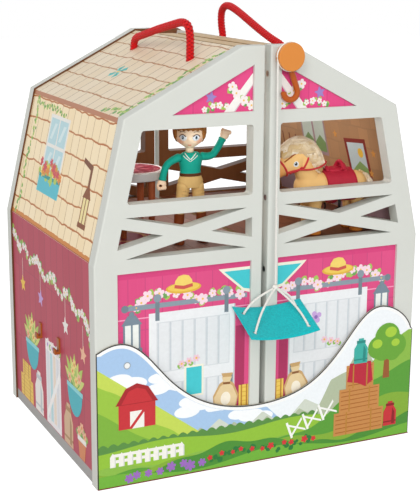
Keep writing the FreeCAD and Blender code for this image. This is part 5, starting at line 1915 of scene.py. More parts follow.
    def gable(self) -> None:
        """A white strut with blossoms on a gable panel."""
        sheet = self.front_sheet("gable_print", [(15.2, 367.2), (101, 367.2), (15.2, 411.6)])
        sheet.shape([(15, 404), (15, 392), (34, 367), (46, 367)], "F6F4EE", 1)
        sheet.shape([(15, 393.6), (15, 392), (34, 367), (35.5, 367)], "D8C9CC", 2)
        sheet.garland([(17, 371), (24, 377), (32, 384), (38, 391)], 51, 0.95)
        sheet.garland([(44, 372), (54, 375), (66, 371)], 55, 0.75)
        Stamp(sheet, 60, 382, 6.5, 0.2, layer=6).put(star(), "9E86C6")
        sheet.build(self.shop, self.side.body, "panel_print")

    def door(self) -> None:
        """A sliding barn door on its rail, with bunting, a garland and a lantern."""
        sheet = self.front_sheet("door_print", box(15.2, 16.2, 158.2, 217.3))
        for edges, colour, layer in (
            ((15, 211, 159, 218), "D9457F", 1), ((15, 170, 159, 171.2), "F7A3C2", 1),
            ((15, 158, 159, 159.2), "CF5084", 1), ((20, 16, 30, 150), "B03460", 1),
            ((31, 16, 125, 174), "EDEFF1", 2), ((31, 16, 32.4, 174), "C9CCCE", 3),
        ):
            sheet.shape(box(*edges), colour, layer)
        for low, high in ((112, 164), (24, 100)):
            sheet.shape(box(37, low, 117, high), "D9DDE0", 3)
            for k in range(6):
                x = 38 + k * 13.2
                sheet.shape(box(x, low + 1, x + 11.8, high - 1), "E6E9EB", 4)
                sheet.shape(box(x + 10.4, low + 1, x + 11.8, high - 1), "CCD3D8", 5)
        sheet.shape([(37, 24), (44, 24), (117, 93), (117, 100), (110, 100), (37, 31)], "F2F3F2", 6)
        sheet.shape(box(18, 179, 152, 184), "8C9BA6", 2)
        for x in (41, 116):
            sheet.shape(box(x - 2.2, 166, x + 2.2, 190), IRON_GREY, 6)
            sheet.shape(oval(x, 189, 4.2, 4.2, 16), "8C9BA6", 6)
        sheet.shape(oval(150, 181.5, 3.8, 3.8, 16), IRON_GREY, 3)
        sheet.shape(box(33, 70, 36, 100), IRON_GREY, 7)
        sheet.shape([(-22, 211), (50, 211), (44, 205), (22, 186), (15, 184)], "F4F0DC", 3)
        sheet.shape([(-20, 208), (44, 208), (22, 189), (15, 187.5)], SKY_TEAL, 4)
        sheet.garland(
            [(140, 180), (132, 192), (112, 195), (92, 190), (70, 182), (48, 190), (26, 184)], 61, 1.1,
            "F8DDE6",
        )
        sheet.shape(oval(88, 196.5, 19, 5.5, 36), "E2B544", 2)
        sheet.shape(oval(88, 197.3, 17, 4.3, 36), "F0CC5E", 3)
        crown = [
            (78, 197), (79, 204), (82.5, 208.6), (88, 209.8), (93.5, 208.6), (97, 204), (98, 197), (88, 195)
        ]
        sheet.shape(crown, "F4D670", 4)
        sheet.shape([(78, 197), (78.4, 200.4), (88, 198.6), (97.6, 200.4), (98, 197), (88, 195)], "CF5A50", 5)
        Stamp(sheet, 143, 136, 1.2, layer=6).lantern("7A8B98", "EEF2EC")
        if self.side is Side.RIGHT:
            Stamp(sheet, 63, 148, 7.0, 0.5, layer=7).flower(LILAC, "8F6CB4", 4)
        else:
            sheet.shape(box(66, 82, 87, 115), "F4F0DC", 7)
            sheet.shape(box(68, 84, 85, 113), SKY_TEAL, 8)
        for k in range(3):
            Stamp(sheet, 74 + 8 * k, 122 - 2 * k, 4.0, layer=8).flower("F0C7D6")
            Stamp(sheet, 77 + 8 * k, 117 - 2 * k, 6.0, 0.9 * k, layer=7).put(leaf(), LEAF_GREEN)
        Stamp(sheet, 42, 58, 0.8, 0.06, layer=9).sack("E9CFA0", "CDA670")
        Stamp(sheet, 14, 16, layer=8).hay(46, 44)
        Stamp(sheet, 14, 60, layer=8).hay(12, 26)
        sheet.build(self.shop, self.side.body, "panel_print")


@dataclass
class RoomPrints:
    """The printed room wall on the right and the rug on the left."""

    shop: Workshop
    wall_foot: Flat = (172.0, 225.86)

    def build(self) -> None:
        """Print the wall and the rug."""
        self.wall()
        self.rug()

    def wall(self) -> None:
        """A plain room wall on the inner face of the right steep roof."""
        x, z = self.wall_foot
        plane = Plane((x, REAR_INSIDE, z), (0, -1, 0), (-STEEP_UP[0], 0, STEEP_UP[1]))
        sheet = PrintSheet("right_inner_wall_print", plane, box(1, 5, 265, 136))
        sheet.shape(box(0, 4, 266, 30), "A58C96", 1)
        sheet.shape(box(0, 29, 266, 31), "7D6470", 2)
        picture = Stamp(sheet, 205, 42, 1.6, 0.1)
        picture.put(box(-14, 0, 14, 34), "8E3A34")
        picture.put(box(-11, 3, 11, 31), "C9DDE0", 1)
        picture.put([(-11, 3), (11, 3), (11, 13), (2, 18), (-11, 10)], "8DAF6A", 2)
        picture.put(oval(5, 24, 3.4, 3.4), GOLD, 2)
        frame = Stamp(sheet, 112, 66)
        frame.put(box(-30, 0, 26, 50), "A98E92")
        for x in (-27, 0):
            frame.put(box(x, 4, x + 23, 46), "C4D3C6", 1)
            frame.put([(x, 4), (x + 23, 4), (x + 23, 16), (x + 12, 24), (x, 14)], "7E9C62", 2)
        for k, x in enumerate((30, 46, 62)):
            sheet.shape(box(x, 60, x + 2, 82), "7A3B2E", 2)
            Stamp(sheet, x + 1, 60, 6.0, 0.3 * k).put(
                oval(0, -1.6, 1.0, 1.7), ("8E2F33", "6E4A32", "A9745A")[k], 1
            )
        for x, y in ((226, 60), (236, 84), (160, 96)):
            Stamp(sheet, x, y, 5.0).put(star(), "D99A4E")
        sheet.build(self.shop, "right_half", "roof_print")

    def rug(self) -> None:
        """A round rug on the left upper floor."""
        plane = Plane((0, 0, FLOOR_TOP), (1, 0, 0), (0, 1, 0))
        rug = PrintSheet("left_rug_print", plane, box(-170, -110, -4, 152))
        for radius, colour, layer in (
            (50, "8A2F45", 1), (44, "C9A27A", 2), (40, "9E3A50", 3), (22, "C9A27A", 4), (18, "8A2F45", 5)
        ):
            rug.shape(oval(-112, -30, radius, radius * 1.1, 48), colour, layer)
        rug.build(self.shop, "left_half", "floor_print")


@dataclass
class DisplayCard:
    """The printed card: hills, sky, a barn, a tree and straw within a white and black edge."""

    shop: Workshop
    half: float = 182.0
    foot: float = 0.5
    face_y: float = -128.8
    clouds: tuple[Point, ...] = (
        (-158, 112, 13), (-145, 106, 16), (-168, 104, 12), (-116, 108, 12), (-104, 101, 15), (-118, 97, 13),
        (-82, 78, 13), (-70, 72, 16), (-54, 68, 12), (-86, 68, 14), (-28, 56, 12), (-14, 53, 15), (0, 50, 12),
    )

    def crest(self, inset: float) -> list[Flat]:
        """The card's upper edge, drawn in square to itself by a distance.

        Args:
            inset: The distance.

        Returns:
            Points from left to right.
        """
        node = self.shop.frame["nodes"]["display_card"]
        found = [node.matrix_world @ v.co for v in node.data.vertices]
        points = sorted({(round(p.x / MM, 2), round(p.z / MM, 2)) for p in found if p.z > 5 * MM})
        xs, zs = [p[0] for p in points], [p[1] for p in points]
        even = np.linspace(-self.half, self.half, 260)
        height = np.interp(even, xs, zs)
        slope = np.gradient(height, even)
        length = np.hypot(1, slope)
        moved = sorted(zip(even + inset * slope / length, height - inset / length))
        return [(float(x), float(z)) for x, z in moved if abs(x) <= self.half - inset]

    def band(self, edge: Sequence[Flat], inset: float, top: Callable[[float], float]) -> list[Flat]:
        """An outline from the card's foot up to a hill or the edge, whichever is lower.

        Args:
            edge: The upper edge's points.
            inset: How far it stays from foot and sides.
            top: The hill's height at a place across.

        Returns:
            The outline.
        """
        low = self.foot + inset
        right = self.half - inset
        xs = [p[0] for p in edge]
        zs = [p[1] for p in edge]
        upper = []
        for x in np.linspace(right, -right, 180):
            upper.append((float(x), max(low + 0.05, min(top(float(x)), float(np.interp(x, xs, zs))))))
        return [(-right, low), (right, low), *upper]

    def build(self) -> None:
        """Print the card's face and give its board a finish."""
        self.shop.dress("display_card", Finishes.CARD_BACK.material())
        whole = box(-self.half, self.foot, self.half, 156)
        sheet = PrintSheet("display_card_print", Plane((0, self.face_y, 0), (1, 0, 0), (0, 0, 1)), whole)
        line, margin, inner = (self.crest(inset) for inset in (0.15, 1.3, 4.6))
        sheet.shape(self.band(line, 0.15, lambda x: 200), "2B2B2D", 0)
        sheet.shape(self.band(margin, 1.1, lambda x: 200), "FBFBF9", 1)
        sheet.shape(self.band(inner, 1.1, lambda x: 200), "F3F7FA", 2)
        hills = (
            (3, "A9C8EA", lambda x: 160 - 1.0 * max(0.0, x + 96)),
            (5, "D2D9CB", lambda x: 36 + 19 * (1 - abs((x + 75) % 50 - 25) / 25) + 0.2 * max(0.0, x - 20)),
            (
                6, "B4BFA2",
                lambda x: 32 + 17 * (
                    1 - abs((x + 52) % 38 - 19) / 19
                ) + 62 * math.exp(-(((x - 118) / 42) ** 2)),
            ),
            (7, "C6D95A", lambda x: 126 - 0.74 * (x + 182)),
            (8, "9CC544", lambda x: 112 - 0.8 * (x + 182) + 3 * math.sin(x / 9)),
            (9, "7FB23E", lambda x: 78 - 0.52 * (x + 182) + 4 * math.sin(x / 17)),
            (10, "5B8F45", lambda x: 43.5 + 3.4 * abs(math.sin(x / 3.4)) if x < 66 else 0),
            (11, "94C23C", lambda x: 40 + 3 * math.sin(x / 24)),
            (11, "8DBB4A", lambda x: 20 + 112 / (1 + math.exp(-(x - 122) / 22)) + 3 * math.sin(x / 15)),
            (12, "5C9E3A", lambda x: 14 + 74 / (1 + math.exp(-(x - 96) / 30)) + 3 * math.sin(x / 13)),
            (12, "86AF3A", lambda x: 16 + 34 / (1 + math.exp(-(x - 110) / 20)) + 5 * math.sin(x / 19)),
            (13, "4E9038", lambda x: 18 + 9 * math.sin(x / 38 + 2.4) + 2 * math.sin(x / 9)),
            (14, "74B33E", lambda x: 9 + 5 * math.sin(x / 29 + 1.1)),
        )
        for layer, colour, top in hills:
            sheet.shape(self.band(inner, 1.1, top), colour, layer)
        edge_x, edge_z = zip(*inner)
        for x, z, wide in self.clouds:
            cloud = oval(x, z, wide, wide * 0.46, 28)
            sheet.shape(
                [(a, min(b, float(np.interp(a, edge_x, edge_z)) - 0.2)) for a, b in cloud], "FAFCFE", 4
            )
        sheet.shape(box(-self.half, self.foot, self.half, self.foot + 1.1), "7A1F24", 20)
        self.motifs(sheet)
        sheet.build(self.shop, "card", "card_print")

    def motifs(self, sheet: PrintSheet) -> None:
        """The barn, fences, punched hole, tree, straw, cans and flowers.

        Args:
            sheet: The card's sheet.
        """
        barn = Stamp(sheet, -140, 60, 1.5, layer=15)
        barn.put(box(-13, 0, 13, 18), BARN_RED)
        barn.put([(-15, 17), (15, 17), (8, 28), (0, 31), (-8, 28)], "A9282E", 1)
        barn.put([(-11, 17.5), (11, 17.5), (6, 26), (0, 28), (-6, 26)], BARN_RED, 2)
        barn.put(box(-5, 0, 5, 12), CREAM_WHITE, 2)
        barn.put([(-5, 0), (-3.6, 0), (5, 10.6), (5, 12), (3.6, 12), (-5, 1.4)], BARN_RED, 3)
        Stamp(sheet, -166, 22, layer=16).fence(74, 15, 9)
        punched = Stamp(sheet, -150, 126, layer=15)
        punched.put(oval(0, 0, 3.6, 3.6, 24), "9AA3AA")
        punched.put(oval(0, 0, 2.8, 2.8, 24), "F1F2F0", 1)
        Stamp(sheet, 150, 70, 1.05, layer=15).tree("9A5B32", "6BA63A", "A9CF42")
        for k in range(3):
            rail = Stamp(sheet, 34 + 19 * k, 19 + 7 * k, 0.86, 0.36, layer=16)
            rail.put(box(0, 0, 3, 22), "F8F8F4")
            rail.put([(0, 0), (22, 16), (22, 19), (0, 3)], "F8F8F4")
            rail.put([(0, 18), (22, 0), (22, 3), (0, 21)], "F8F8F4")
        for x, y, wide in ((86, 12, 62), (92, 38, 50), (100, 64, 34)):
            Stamp(sheet, x, y, layer=17).hay(wide, 26, "C98B4E", "A9682E")
        Stamp(sheet, 104, 90, layer=18).put(
            [(0, 2), (26, 2), (29, -20), (20, -26), (10, -21), (-3, -18)], "BC2A3E"
        )
        Stamp(sheet, 117, 91, 0.75, layer=18).can("3FB0A4", "2C8A82")
        Stamp(sheet, 157, 14, 0.75, layer=18).can(BARN_RED, "8E2328")
        sheet.scatter([(-60, 12), (-20, 17), (20, 11), (60, 15)], leaf(), "2F7A3C", 3.6, 5.5, 71, 16, 2.5)
        sheet.scatter(
            [(-60, 14), (-20, 19), (20, 13), (60, 17)], bloom(5, 0.5), "D8343A", 11.0, 3.4, 72, 17, 2.5
        )
        sheet.scatter([(-150, 9), (-100, 13), (-70, 9)], bloom(6, 0.5), "9E6CC0", 11.0, 5.4, 73, 17, 3.5)


# Figures and table


@dataclass(frozen=True)
class ZonedFinish(Finish):
    """A finish with soft spots of other colours, each a centre and radius in millimetres."""

    spots: tuple[tuple[Point, float, float, str], ...] = ()

    def colour_socket(self, tree: NodeTree, spot: NodeSocket) -> NodeSocket:
        """The plain colour with its spots.

        Args:
            tree: The material's node tree.
            spot: Object coordinates.

        Returns:
            A colour socket.
        """
        colour = Finish.colour_socket(self, tree, spot)
        for centre, radius, soft, code in self.spots:
            away = add_node(
                tree, "VectorMath", {0: spot, 1: Vector(centre) * MM}, operation="DISTANCE"
            ).outputs[1]
            ends = {
                "From Min": (radius - soft) * MM, "From Max": (radius + soft) * MM, "To Min": 1.0,
                "To Max": 0.0,
            }
            mask = add_node(tree, "MapRange", {"Value": away, **ends}, interpolation_type="SMOOTHSTEP")
            colour = add_node(tree, "Mix", {0: mask, 6: colour, 7: code}, data_type="RGBA").outputs[2]
        return colour


@dataclass(frozen=True)
class FurFinish(Finish):
    """Locks of hair, each with its own tone from the attribute that the tuft group leaves."""

    def colour_socket(self, tree: NodeTree, spot: NodeSocket) -> NodeSocket:
        """The plain colour with each lock's tone.

        Args:
            tree: The material's node tree.
            spot: Object coordinates.

        Returns:
            A colour socket.
        """
        colour = Finish.colour_socket(self, tree, spot)
        tone = add_node(tree, "Attribute", attribute_name="tone")
        share = add_node(tree, "Math", {0: tone.outputs["Fac"], 1: 0.9}, operation="MULTIPLY")
        return add_node(tree, "Mix", {0: share, 6: colour, 7: self.shade_colour}, data_type="RGBA").outputs[2]


# Cream nylon-like locks, matt with a soft rim.
NYLON_HAIR = FurFinish("nylon_hair_cream", "FFFAEE", 0.5, "CAA868", 1.5, 0.6, 0.5, 0.2, sheen=0.3)
# The hair's core, coloured darker than the locks as painted shade seen between them.
NYLON_SHADED_CORE = Finish("nylon_hair_roots", "C4A570", 0.7, "B29360", 1.5, 0.6, 0.5, 0.2)
# Steps that spread locks evenly, along the line and round it.
EVEN_STEPS = (0.7549, 0.5698)


def hair_group() -> NodeTree:
    """A group that skins many guide lines as tapering tufts.

    Returns:
        The group's tree.
    """
    found = bpy.data.node_groups.get("tapered_tufts")
    if found is not None:
        return found
    tree, given = geometry_group(
        "tapered_tufts", [("Radius", "Float"), ("Bunch", "Float"), ("Material", "Material")]
    )
    out = given.outputs
    line = add_node(tree, "GeometryNodeMeshToCurve", {0: out["Geometry"]})
    share = add_node(tree, "GeometryNodeSplineParameter").outputs["Factor"]
    taper = add_node(tree, "Math", {0: share, 1: 2.2}, operation="POWER")
    thin = add_node(tree, "Math", {0: taper, 1: -0.85, 2: 1.0}, operation="MULTIPLY_ADD")
    size = add_node(tree, "Math", {0: thin, 1: out["Radius"]}, operation="MULTIPLY")
    sized = add_node(tree, "GeometryNodeSetCurveRadius", {"Curve": line, "Radius": size})
    index = add_node(tree, "GeometryNodeInputIndex")
    lock = add_node(tree, "Math", {0: index, 1: out["Bunch"]}, operation="DIVIDE")
    whole = add_node(tree, "Math", {0: lock}, operation="FLOOR")
    chance = add_node(
        tree, "FunctionNodeRandomValue", {2: 0.0, 3: 1.0, "ID": whole, "Seed": 4}, data_type="FLOAT"
    )
    toned = add_node(
        tree, "GeometryNodeStoreNamedAttribute",
        {"Geometry": sized, "Name": "tone", "Value": chance.outputs[1]}, data_type="FLOAT", domain="CURVE",
    )
    circle = add_node(tree, "GeometryNodeCurvePrimitiveCircle", {"Resolution": 6, "Radius": 1.0})
    skin = add_node(
        tree, "GeometryNodeCurveToMesh",
        {"Curve": toned, "Profile Curve": circle, "Scale": size, "Fill Caps": True},
    )
    smooth = add_node(tree, "GeometryNodeSetShadeSmooth", {"Geometry": skin})
    close_group(tree, smooth, out["Material"])
    return tree


def tufts(
    name: str, guides: Sequence[Sequence[Vector]], radius: float, bunch: int, material: Material
) -> Object:
    """Skin guide lines in millimetres as one object of tufts, toned in bunches.

    Args:
        name: The object's name.
        guides: The lines, in millimetres.
        radius: A tuft's radius at its root.
        bunch: How many tufts share a tone.
        material: The hair's material.

    Returns:
        The object.
    """
    obj = line_object(name, guides)
    grow(obj, hair_group(), Radius=radius * MM, Bunch=float(bunch), Material=material)
    tidy_normals(obj, 0)
    return obj


def tube(name: str, points: Sequence[Point], radius: float) -> Object:
    """A round strand of even thickness along a smooth path."""
    return loft(name, smooth_path(points, 24), radius, 10)


def painted(obj: Object, finish: Finish) -> Object:
    """Give a loose piece its only material before it is joined."""
    obj.data.materials.clear()
    obj.data.materials.append(finish.material())
    return obj


def lens(
    name: str, spot: Vector, normal: Vector, half_w: float, half_h: float, rise: float, finish: Finish
) -> Object:
    """A shallow painted spot on a rounded face.

    Args:
        name: The object's name.
        spot: Its place on the face, in millimetres.
        normal: The face's direction there.
        half_w: Half its width.
        half_h: Half its height.
        rise: How far its middle stands out.
        finish: Its finish.

    Returns:
        The spot, a flattened ball that is sunk in the face.
    """
    obj = ball(name, (0, 0, 0), (half_w * 1.12, rise * 2.2, half_h * 1.12), 28)
    flat = Vector((normal.x, normal.y, 0)).normalized()
    turn = Vector((0, -1, 0)).rotation_difference(flat).to_matrix().to_4x4()
    tilt = Matrix.Rotation(math.asin(max(-0.9, min(0.9, -normal.z))) * 0.8, 4, "X")
    obj.data.transform(Matrix.Translation((spot - normal * rise * 1.2) * MM) @ turn @ tilt)
    return painted(obj, finish)


@dataclass
class Figure:
    """A moulded figure that stands on an upper floor."""

    shop: Workshop
    place: Point

    def at(self, x: float, y: float, z: float) -> Vector:
        """A point counted from the middle of the figure's feet, in the scene's millimetres."""
        return Vector(self.place) + Vector((x, y, z))


@dataclass
class Doll(Figure):
    """The jointed doll: head with painted face, moulded hair, collar, sleeves and hands."""

    place: Point = (-59.99, -77.3, STANDING_Z)
    face_turn: float = -24.0
    head_z: float = 113.2
    head_half: Point = (14.6, 14.3, 17.4)
    hair_line: float = 2.2
    cap_half: Point = (16.6, 16.2, 18.4)
    locks: int = 40
    face_half: float = 13.9
    face_front: float = -3.5
    hair_foot: Flat = (-7.6, -11.5)

    def turn_and_place(self, obj: Object, z: float) -> Object:
        """Turn a piece of the head to the side that the doll looks to and set it at its height."""
        turn = Matrix.Rotation(math.radians(self.face_turn), 4, "Z")
        obj.data.transform(Matrix.Translation(self.at(-1.0, 0, z) * MM) @ turn)
        return obj

    def build(self) -> None:
        """Build and place the doll's pieces."""
        self.head()
        self.hair()
        self.collar()
        self.arm("left", ((13.5, 87), (23.0, 85.5), (30, 94), (35.5, 103.5)))
        self.arm("right", ((-13.5, 87), (-23.5, 84), (-29, 75), (-30.5, 66)))
        self.shop.dress("doll_sweater", Finishes.SWEATER.material())
        self.shop.dress("doll_belt", Finishes.BELT.material())
        self.shop.dress("doll_pelvis", Finishes.TROUSERS.material())
        for word in ("left", "right"):
            self.leg(word)

    def skull(self, x: float, z: float) -> float:
        """How far forward the plain head reaches at a place of the face."""
        half_x, half_y, half_z = self.head_half
        return -half_y * math.sqrt(max(0.02, 1 - (x / half_x) ** 2 - (z / half_z) ** 2))

    def head(self) -> None:
        """The head with its chin, nose and painted face."""
        # Soft PVC skin with a painted blush on the cheeks.
        skin = ZonedFinish(
            "soft_pvc_face", "FFE7C8", 0.5, "FCDEBC", 14.0, 0.5, 1.0, 0.02, ior=1.45,
            spots=tuple((tuple(self.cheek(sign)), 3.4, 2.6, "F0B296") for sign in (-1, 1)),
        )
        head = ball("doll_head_form", (0, 0, 0), self.head_half, 72)
        for vertex in head.data.vertices:
            x, y, z = (c / MM / h for c, h in zip(vertex.co, self.head_half))
            low = max(0.0, -z - 0.62) / 0.38
            vertex.co.x *= (1 - 0.36 * low**1.2) * (1 + 0.05 * math.exp(-(((z + 0.5) / 0.22) ** 2)))
            vertex.co.y = vertex.co.y * (1 - 0.2 * low) - 1.2 * low * MM * (y < 0)
            if y < 0:
                nose = math.exp(
                    -(((vertex.co.x / MM) / 1.7) ** 2) - (((z * self.head_half[2] + 7.2) / 1.8) ** 2)
                )
                vertex.co.y -= 1.3 * nose * MM
        parts = [painted(head, skin)]
        neck = loft(
            "neck", [(0, 0, -20.9), (0, 0, -17), (0, 0, -8)], [(4.1, 4.1), (4.0, 4.0), (5.0, 5.0)], 28
        )
        parts.append(painted(neck, skin))
        parts += [*self.eye(-1), *self.eye(1)]
        mouth = [
            (k, self.skull(k, -12.8) - d, -12.8 + h)
            for k, h, d in ((-1.7, 0.35, 0.75), (0, -0.2, 0.95), (1.7, 0.35, 0.75))
        ]
        parts.append(painted(tube("mouth", mouth, 0.42), Finishes.LIP))
        whole = self.turn_and_place(join("doll_head_painted", parts), self.head_z)
        self.shop.place(whole, "doll_head_turning", "doll_skin", replaces=("doll_head",))

    def eye(self, sign: int) -> list[Object]:
        """A painted eye with its lash, its brow and a white dot of painted highlight.

        Args:
            sign: Which eye, -1 or 1 across.

        Returns:
            The loose pieces.
        """
        x, z = sign * 6.7, -4.9
        spot = Vector((x, self.skull(x, z), z))
        half_x, half_y, half_z = self.head_half
        normal = Vector((x / half_x**2, spot.y / half_y**2, z / half_z**2)).normalized()
        parts = [lens("eye_white", spot, normal, 3.7, 3.2, 0.55, Finishes.EYE_WHITE)]
        inner = spot + Vector((-sign * 0.1, 0, 0.1))
        parts.append(lens("iris", inner + normal * 0.25, normal, 2.2, 2.4, 0.45, Finishes.EYE_BLUE))
        parts.append(lens("pupil", inner + normal * 0.42, normal, 1.25, 1.45, 0.38, Finishes.EYE_BLACK))
        # Painted highlight: a white dot at the pupil's upper side.
        glint = inner + normal * 0.72 + Vector((-0.55, 0, 0.65))
        parts.append(lens("glint", glint, normal, 0.42, 0.42, 0.2, Finishes.EYE_WHITE))
        for name, thick, sunk, places in (
            ("lash", 0.42, 0.75, ((-3.0, -3.6), (-1.4, -2.0), (0.6, -1.6), (2.6, -2.5), (3.6, -4.2))),
            ("brow", 0.3, 0.15, ((-2.6, 0.7), (0.2, 1.5), (3.0, 0.6))),
        ):
            path = [(x + sign * k, self.skull(x + sign * k, h) - sunk, h) for k, h in places]
            parts.append(painted(tube(name, path, thick), Finishes.BELT))
        return parts

    def cheek(self, sign: int) -> Vector:
        """The middle of a blushed cheek."""
        spot = Vector((sign * 9.2, self.skull(9.2, -8.8), -8.8))
        return self.at(0, 0, self.head_z) + Matrix.Rotation(math.radians(self.face_turn), 3, "Z") @ spot

    def hair(self) -> None:
        """Moulded hair with locks that run from the crown, cut open at the face."""
        middle, cap_half = (0, 0.6, 0.7), self.cap_half
        parts = [ball("cap", middle, cap_half, 48)]
        for k in range(self.locks):
            turn = 2 * math.pi * (k + 0.3 * math.sin(5 * k)) / self.locks
            path, radii = [], []
            for step in range(9):
                dip = math.radians(8 + 118 * step / 8)
                lean = turn + 0.25 * step / 8
                out = (math.sin(dip) * math.cos(lean), math.sin(dip) * math.sin(lean), math.cos(dip))
                path.append(tuple(m + h * 0.99 * o for m, h, o in zip(middle, cap_half, out)))
                radii.append((1.25 - 0.05 * step, 0.75))
            parts.append(loft("lock", path, radii, 8))
        hair = melted(join("doll_hair_moulded", parts), 0.55, 3)
        for vertex in hair.data.vertices:
            x, y, z = (c / MM for c in vertex.co)
            fringe = self.hair_line + 0.5 * math.sin(1.3 * x)
            face = abs(x) < self.face_half and y < self.face_front and z < fringe
            if face or z < (self.hair_foot[0] if y < 1 else self.hair_foot[1]):
                reach = math.sqrt(sum((c / h) ** 2 for c, h in zip((x, y, z), self.head_half)))
                vertex.co *= 0.5 / reach
        shade(hair)
        hair = self.turn_and_place(hair, self.head_z)
        self.shop.place(
            hair, "doll_head_turning", "doll_hair", Finishes.HAIR.material(), replaces=("doll_hair",)
        )

    def collar(self) -> None:
        """The white collar's two points and a line below them, drawn on the sweater."""
        turn = Matrix.Rotation(math.radians(self.face_turn), 3, "Z")
        tree = search_tree(self.shop.frame["nodes"]["doll_sweater"].data)
        parts = []
        for drop, reach, thick in ((0, 5.4, 0.55), (2.0, 7.0, 0.4)):
            for sign in (-1, 1):
                route = []
                for x, z in ((0.2, 85.8), (1.6, 87.0), (reach - 1.6, 89.6), (reach, 91.4)):
                    start = self.at(0, 0, z - drop) + turn @ Vector((sign * x, -30, 0))
                    spot, normal, _, _ = tree.ray_cast(start * MM, turn @ Vector((0, 1, 0)))
                    if spot is not None:
                        route.append(spot / MM + normal * 0.15)
                parts.append(painted(tube("collar", route, thick), Finishes.WHITE_TRIM))
        self.shop.place(join("doll_collar_lines", parts), "doll", "doll_sweater")

    def leg(self, word: str) -> None:
        """A trouser leg with creases and a boot, set a little apart as in the photograph.

        Args:
            word: The doll's side.
        """
        sign = 1 if word == "left" else -1
        places = ((7.7, 57, 6.7), (9.2, 46, 6.1), (11.0, 36, 5.3), (12.0, 28.5, 4.8))
        path = [self.at(sign * x, 0, z) for x, z, _ in places]
        forms = [
            loft("thigh", path, [(r, r) for _, _, r in places], 32), ball("hip", path[0], (6.9,) * 3, 28)
        ]
        trousers = painted(melted(join("trousers", forms), 0.5, 4), Finishes.TROUSERS)
        parts = [trousers]
        for drop in (0.0, 3.6):
            turns = np.linspace(-2.3, -0.6, 10)
            crease = [
                path[0] + Vector(
                    (7.1 * math.cos(t), 7.1 * math.sin(t), -3.0 - drop + 1.2 * sign * math.cos(t))
                )
                for t in turns
            ]
            parts.append(painted(tube("crease", crease, 0.35), Finishes.TROUSERS))
        shaft = [self.at(sign * x, 0, z) for x, z in ((12.0, 30.2), (12.0, 29.0), (12.9, 14), (13.4, 3))]
        boot = [loft("shaft", shaft, [(5.0, 5.0), (5.3, 5.3), (4.9, 5.1), (4.9, 5.6)], 28)]
        boot.append(ball("foot", self.at(sign * 13.4 - 1.6, -5.0, 2.6), (5.3, 9.2, 6.2), 28))
        shoe = melted(join("boot", boot), 0.5, 3)
        for vertex in shoe.data.vertices:
            vertex.co.z = max(vertex.co.z, (self.place[2] + 0.1) * MM)
        parts.append(painted(shoe, Finishes.BOOT))
        whole = join(f"doll_{word}_leg_and_boot", parts)
        self.shop.place(whole, f"doll_{word}_leg_swinging", "doll_trousers", replaces=(f"doll_{word}_leg",))

    def arm(self, word: str, places: Sequence[Flat]) -> None:
        """A bent sleeve with a hem and a hand with thumb and fingers.

        Args:
            word: The doll's side.
            places: The sleeve's middle line, across and up.
        """
        path = smooth_path([self.at(x, 0, z) for x, z in places], 22)
        radii = [(4.2 - 0.6 * min(1, k / 8),) * 2 for k in range(22)]
        sleeve = join(
            "sleeve", [loft("tube", path, radii, 24), ball("shoulder", path[0], (4.25, 4.25, 4.25), 24)]
        )
        sleeve = painted(melted(sleeve, 0.45, 3), Finishes.SWEATER)
        along = (path[-1] - path[-2]).normalized()
        hem = loft("hem", [path[-1] - along * 1.6, path[-1] + along * 0.3], [(4.0, 4.0), (3.95, 3.95)], 28)
        out = Vector((0, -1, 0)).cross(along)
        palm = path[-1] + along * 4.6
        raised = word == "left"
        forms = [loft("wrist", [path[-1] - along * 2, palm], [(2.9, 2.6), (3.4, 2.9)], 20)]
        forms.append(ball("palm", palm, (4.8, 3.8, 5.2), 24))
        for k in range(4):
            tip = palm + along * (4.4 - 0.5 * k) - out * (3.3 - 2.2 * k) + Vector((0, -1.8, 0))
            forms.append(ball("finger", tip, (1.6, 2.0, 2.3), 14))
        thumb = palm + out * (3.4 if raised else -3.4)
        middle = thumb + along * 2.6 + out * (1.4 if raised else -0.6)
        tip = thumb + along * 4.8 + out * (1.2 if raised else 0.2)
        forms.append(loft("thumb", [thumb, middle, tip], [(1.6, 1.6), (1.5, 1.5), (1.2, 1.2)], 12))
        hand = melted(join("hand", forms), 0.4, 3)
        if not raised:
            grip = palm - out * 1.0 + along * 1.6
            through = Vector((4, 9, 0))
            punch(hand, grip - through, grip + through, 1.9, 20)
        whole = join(
            f"doll_{word}_arm_and_hand",
            [sleeve, painted(hem, Finishes.SWEATER), painted(shade(hand), Finishes.SKIN)],
        )
        self.shop.place(whole, f"doll_{word}_arm_swinging", "doll_sweater", replaces=(f"doll_{word}_arm",))


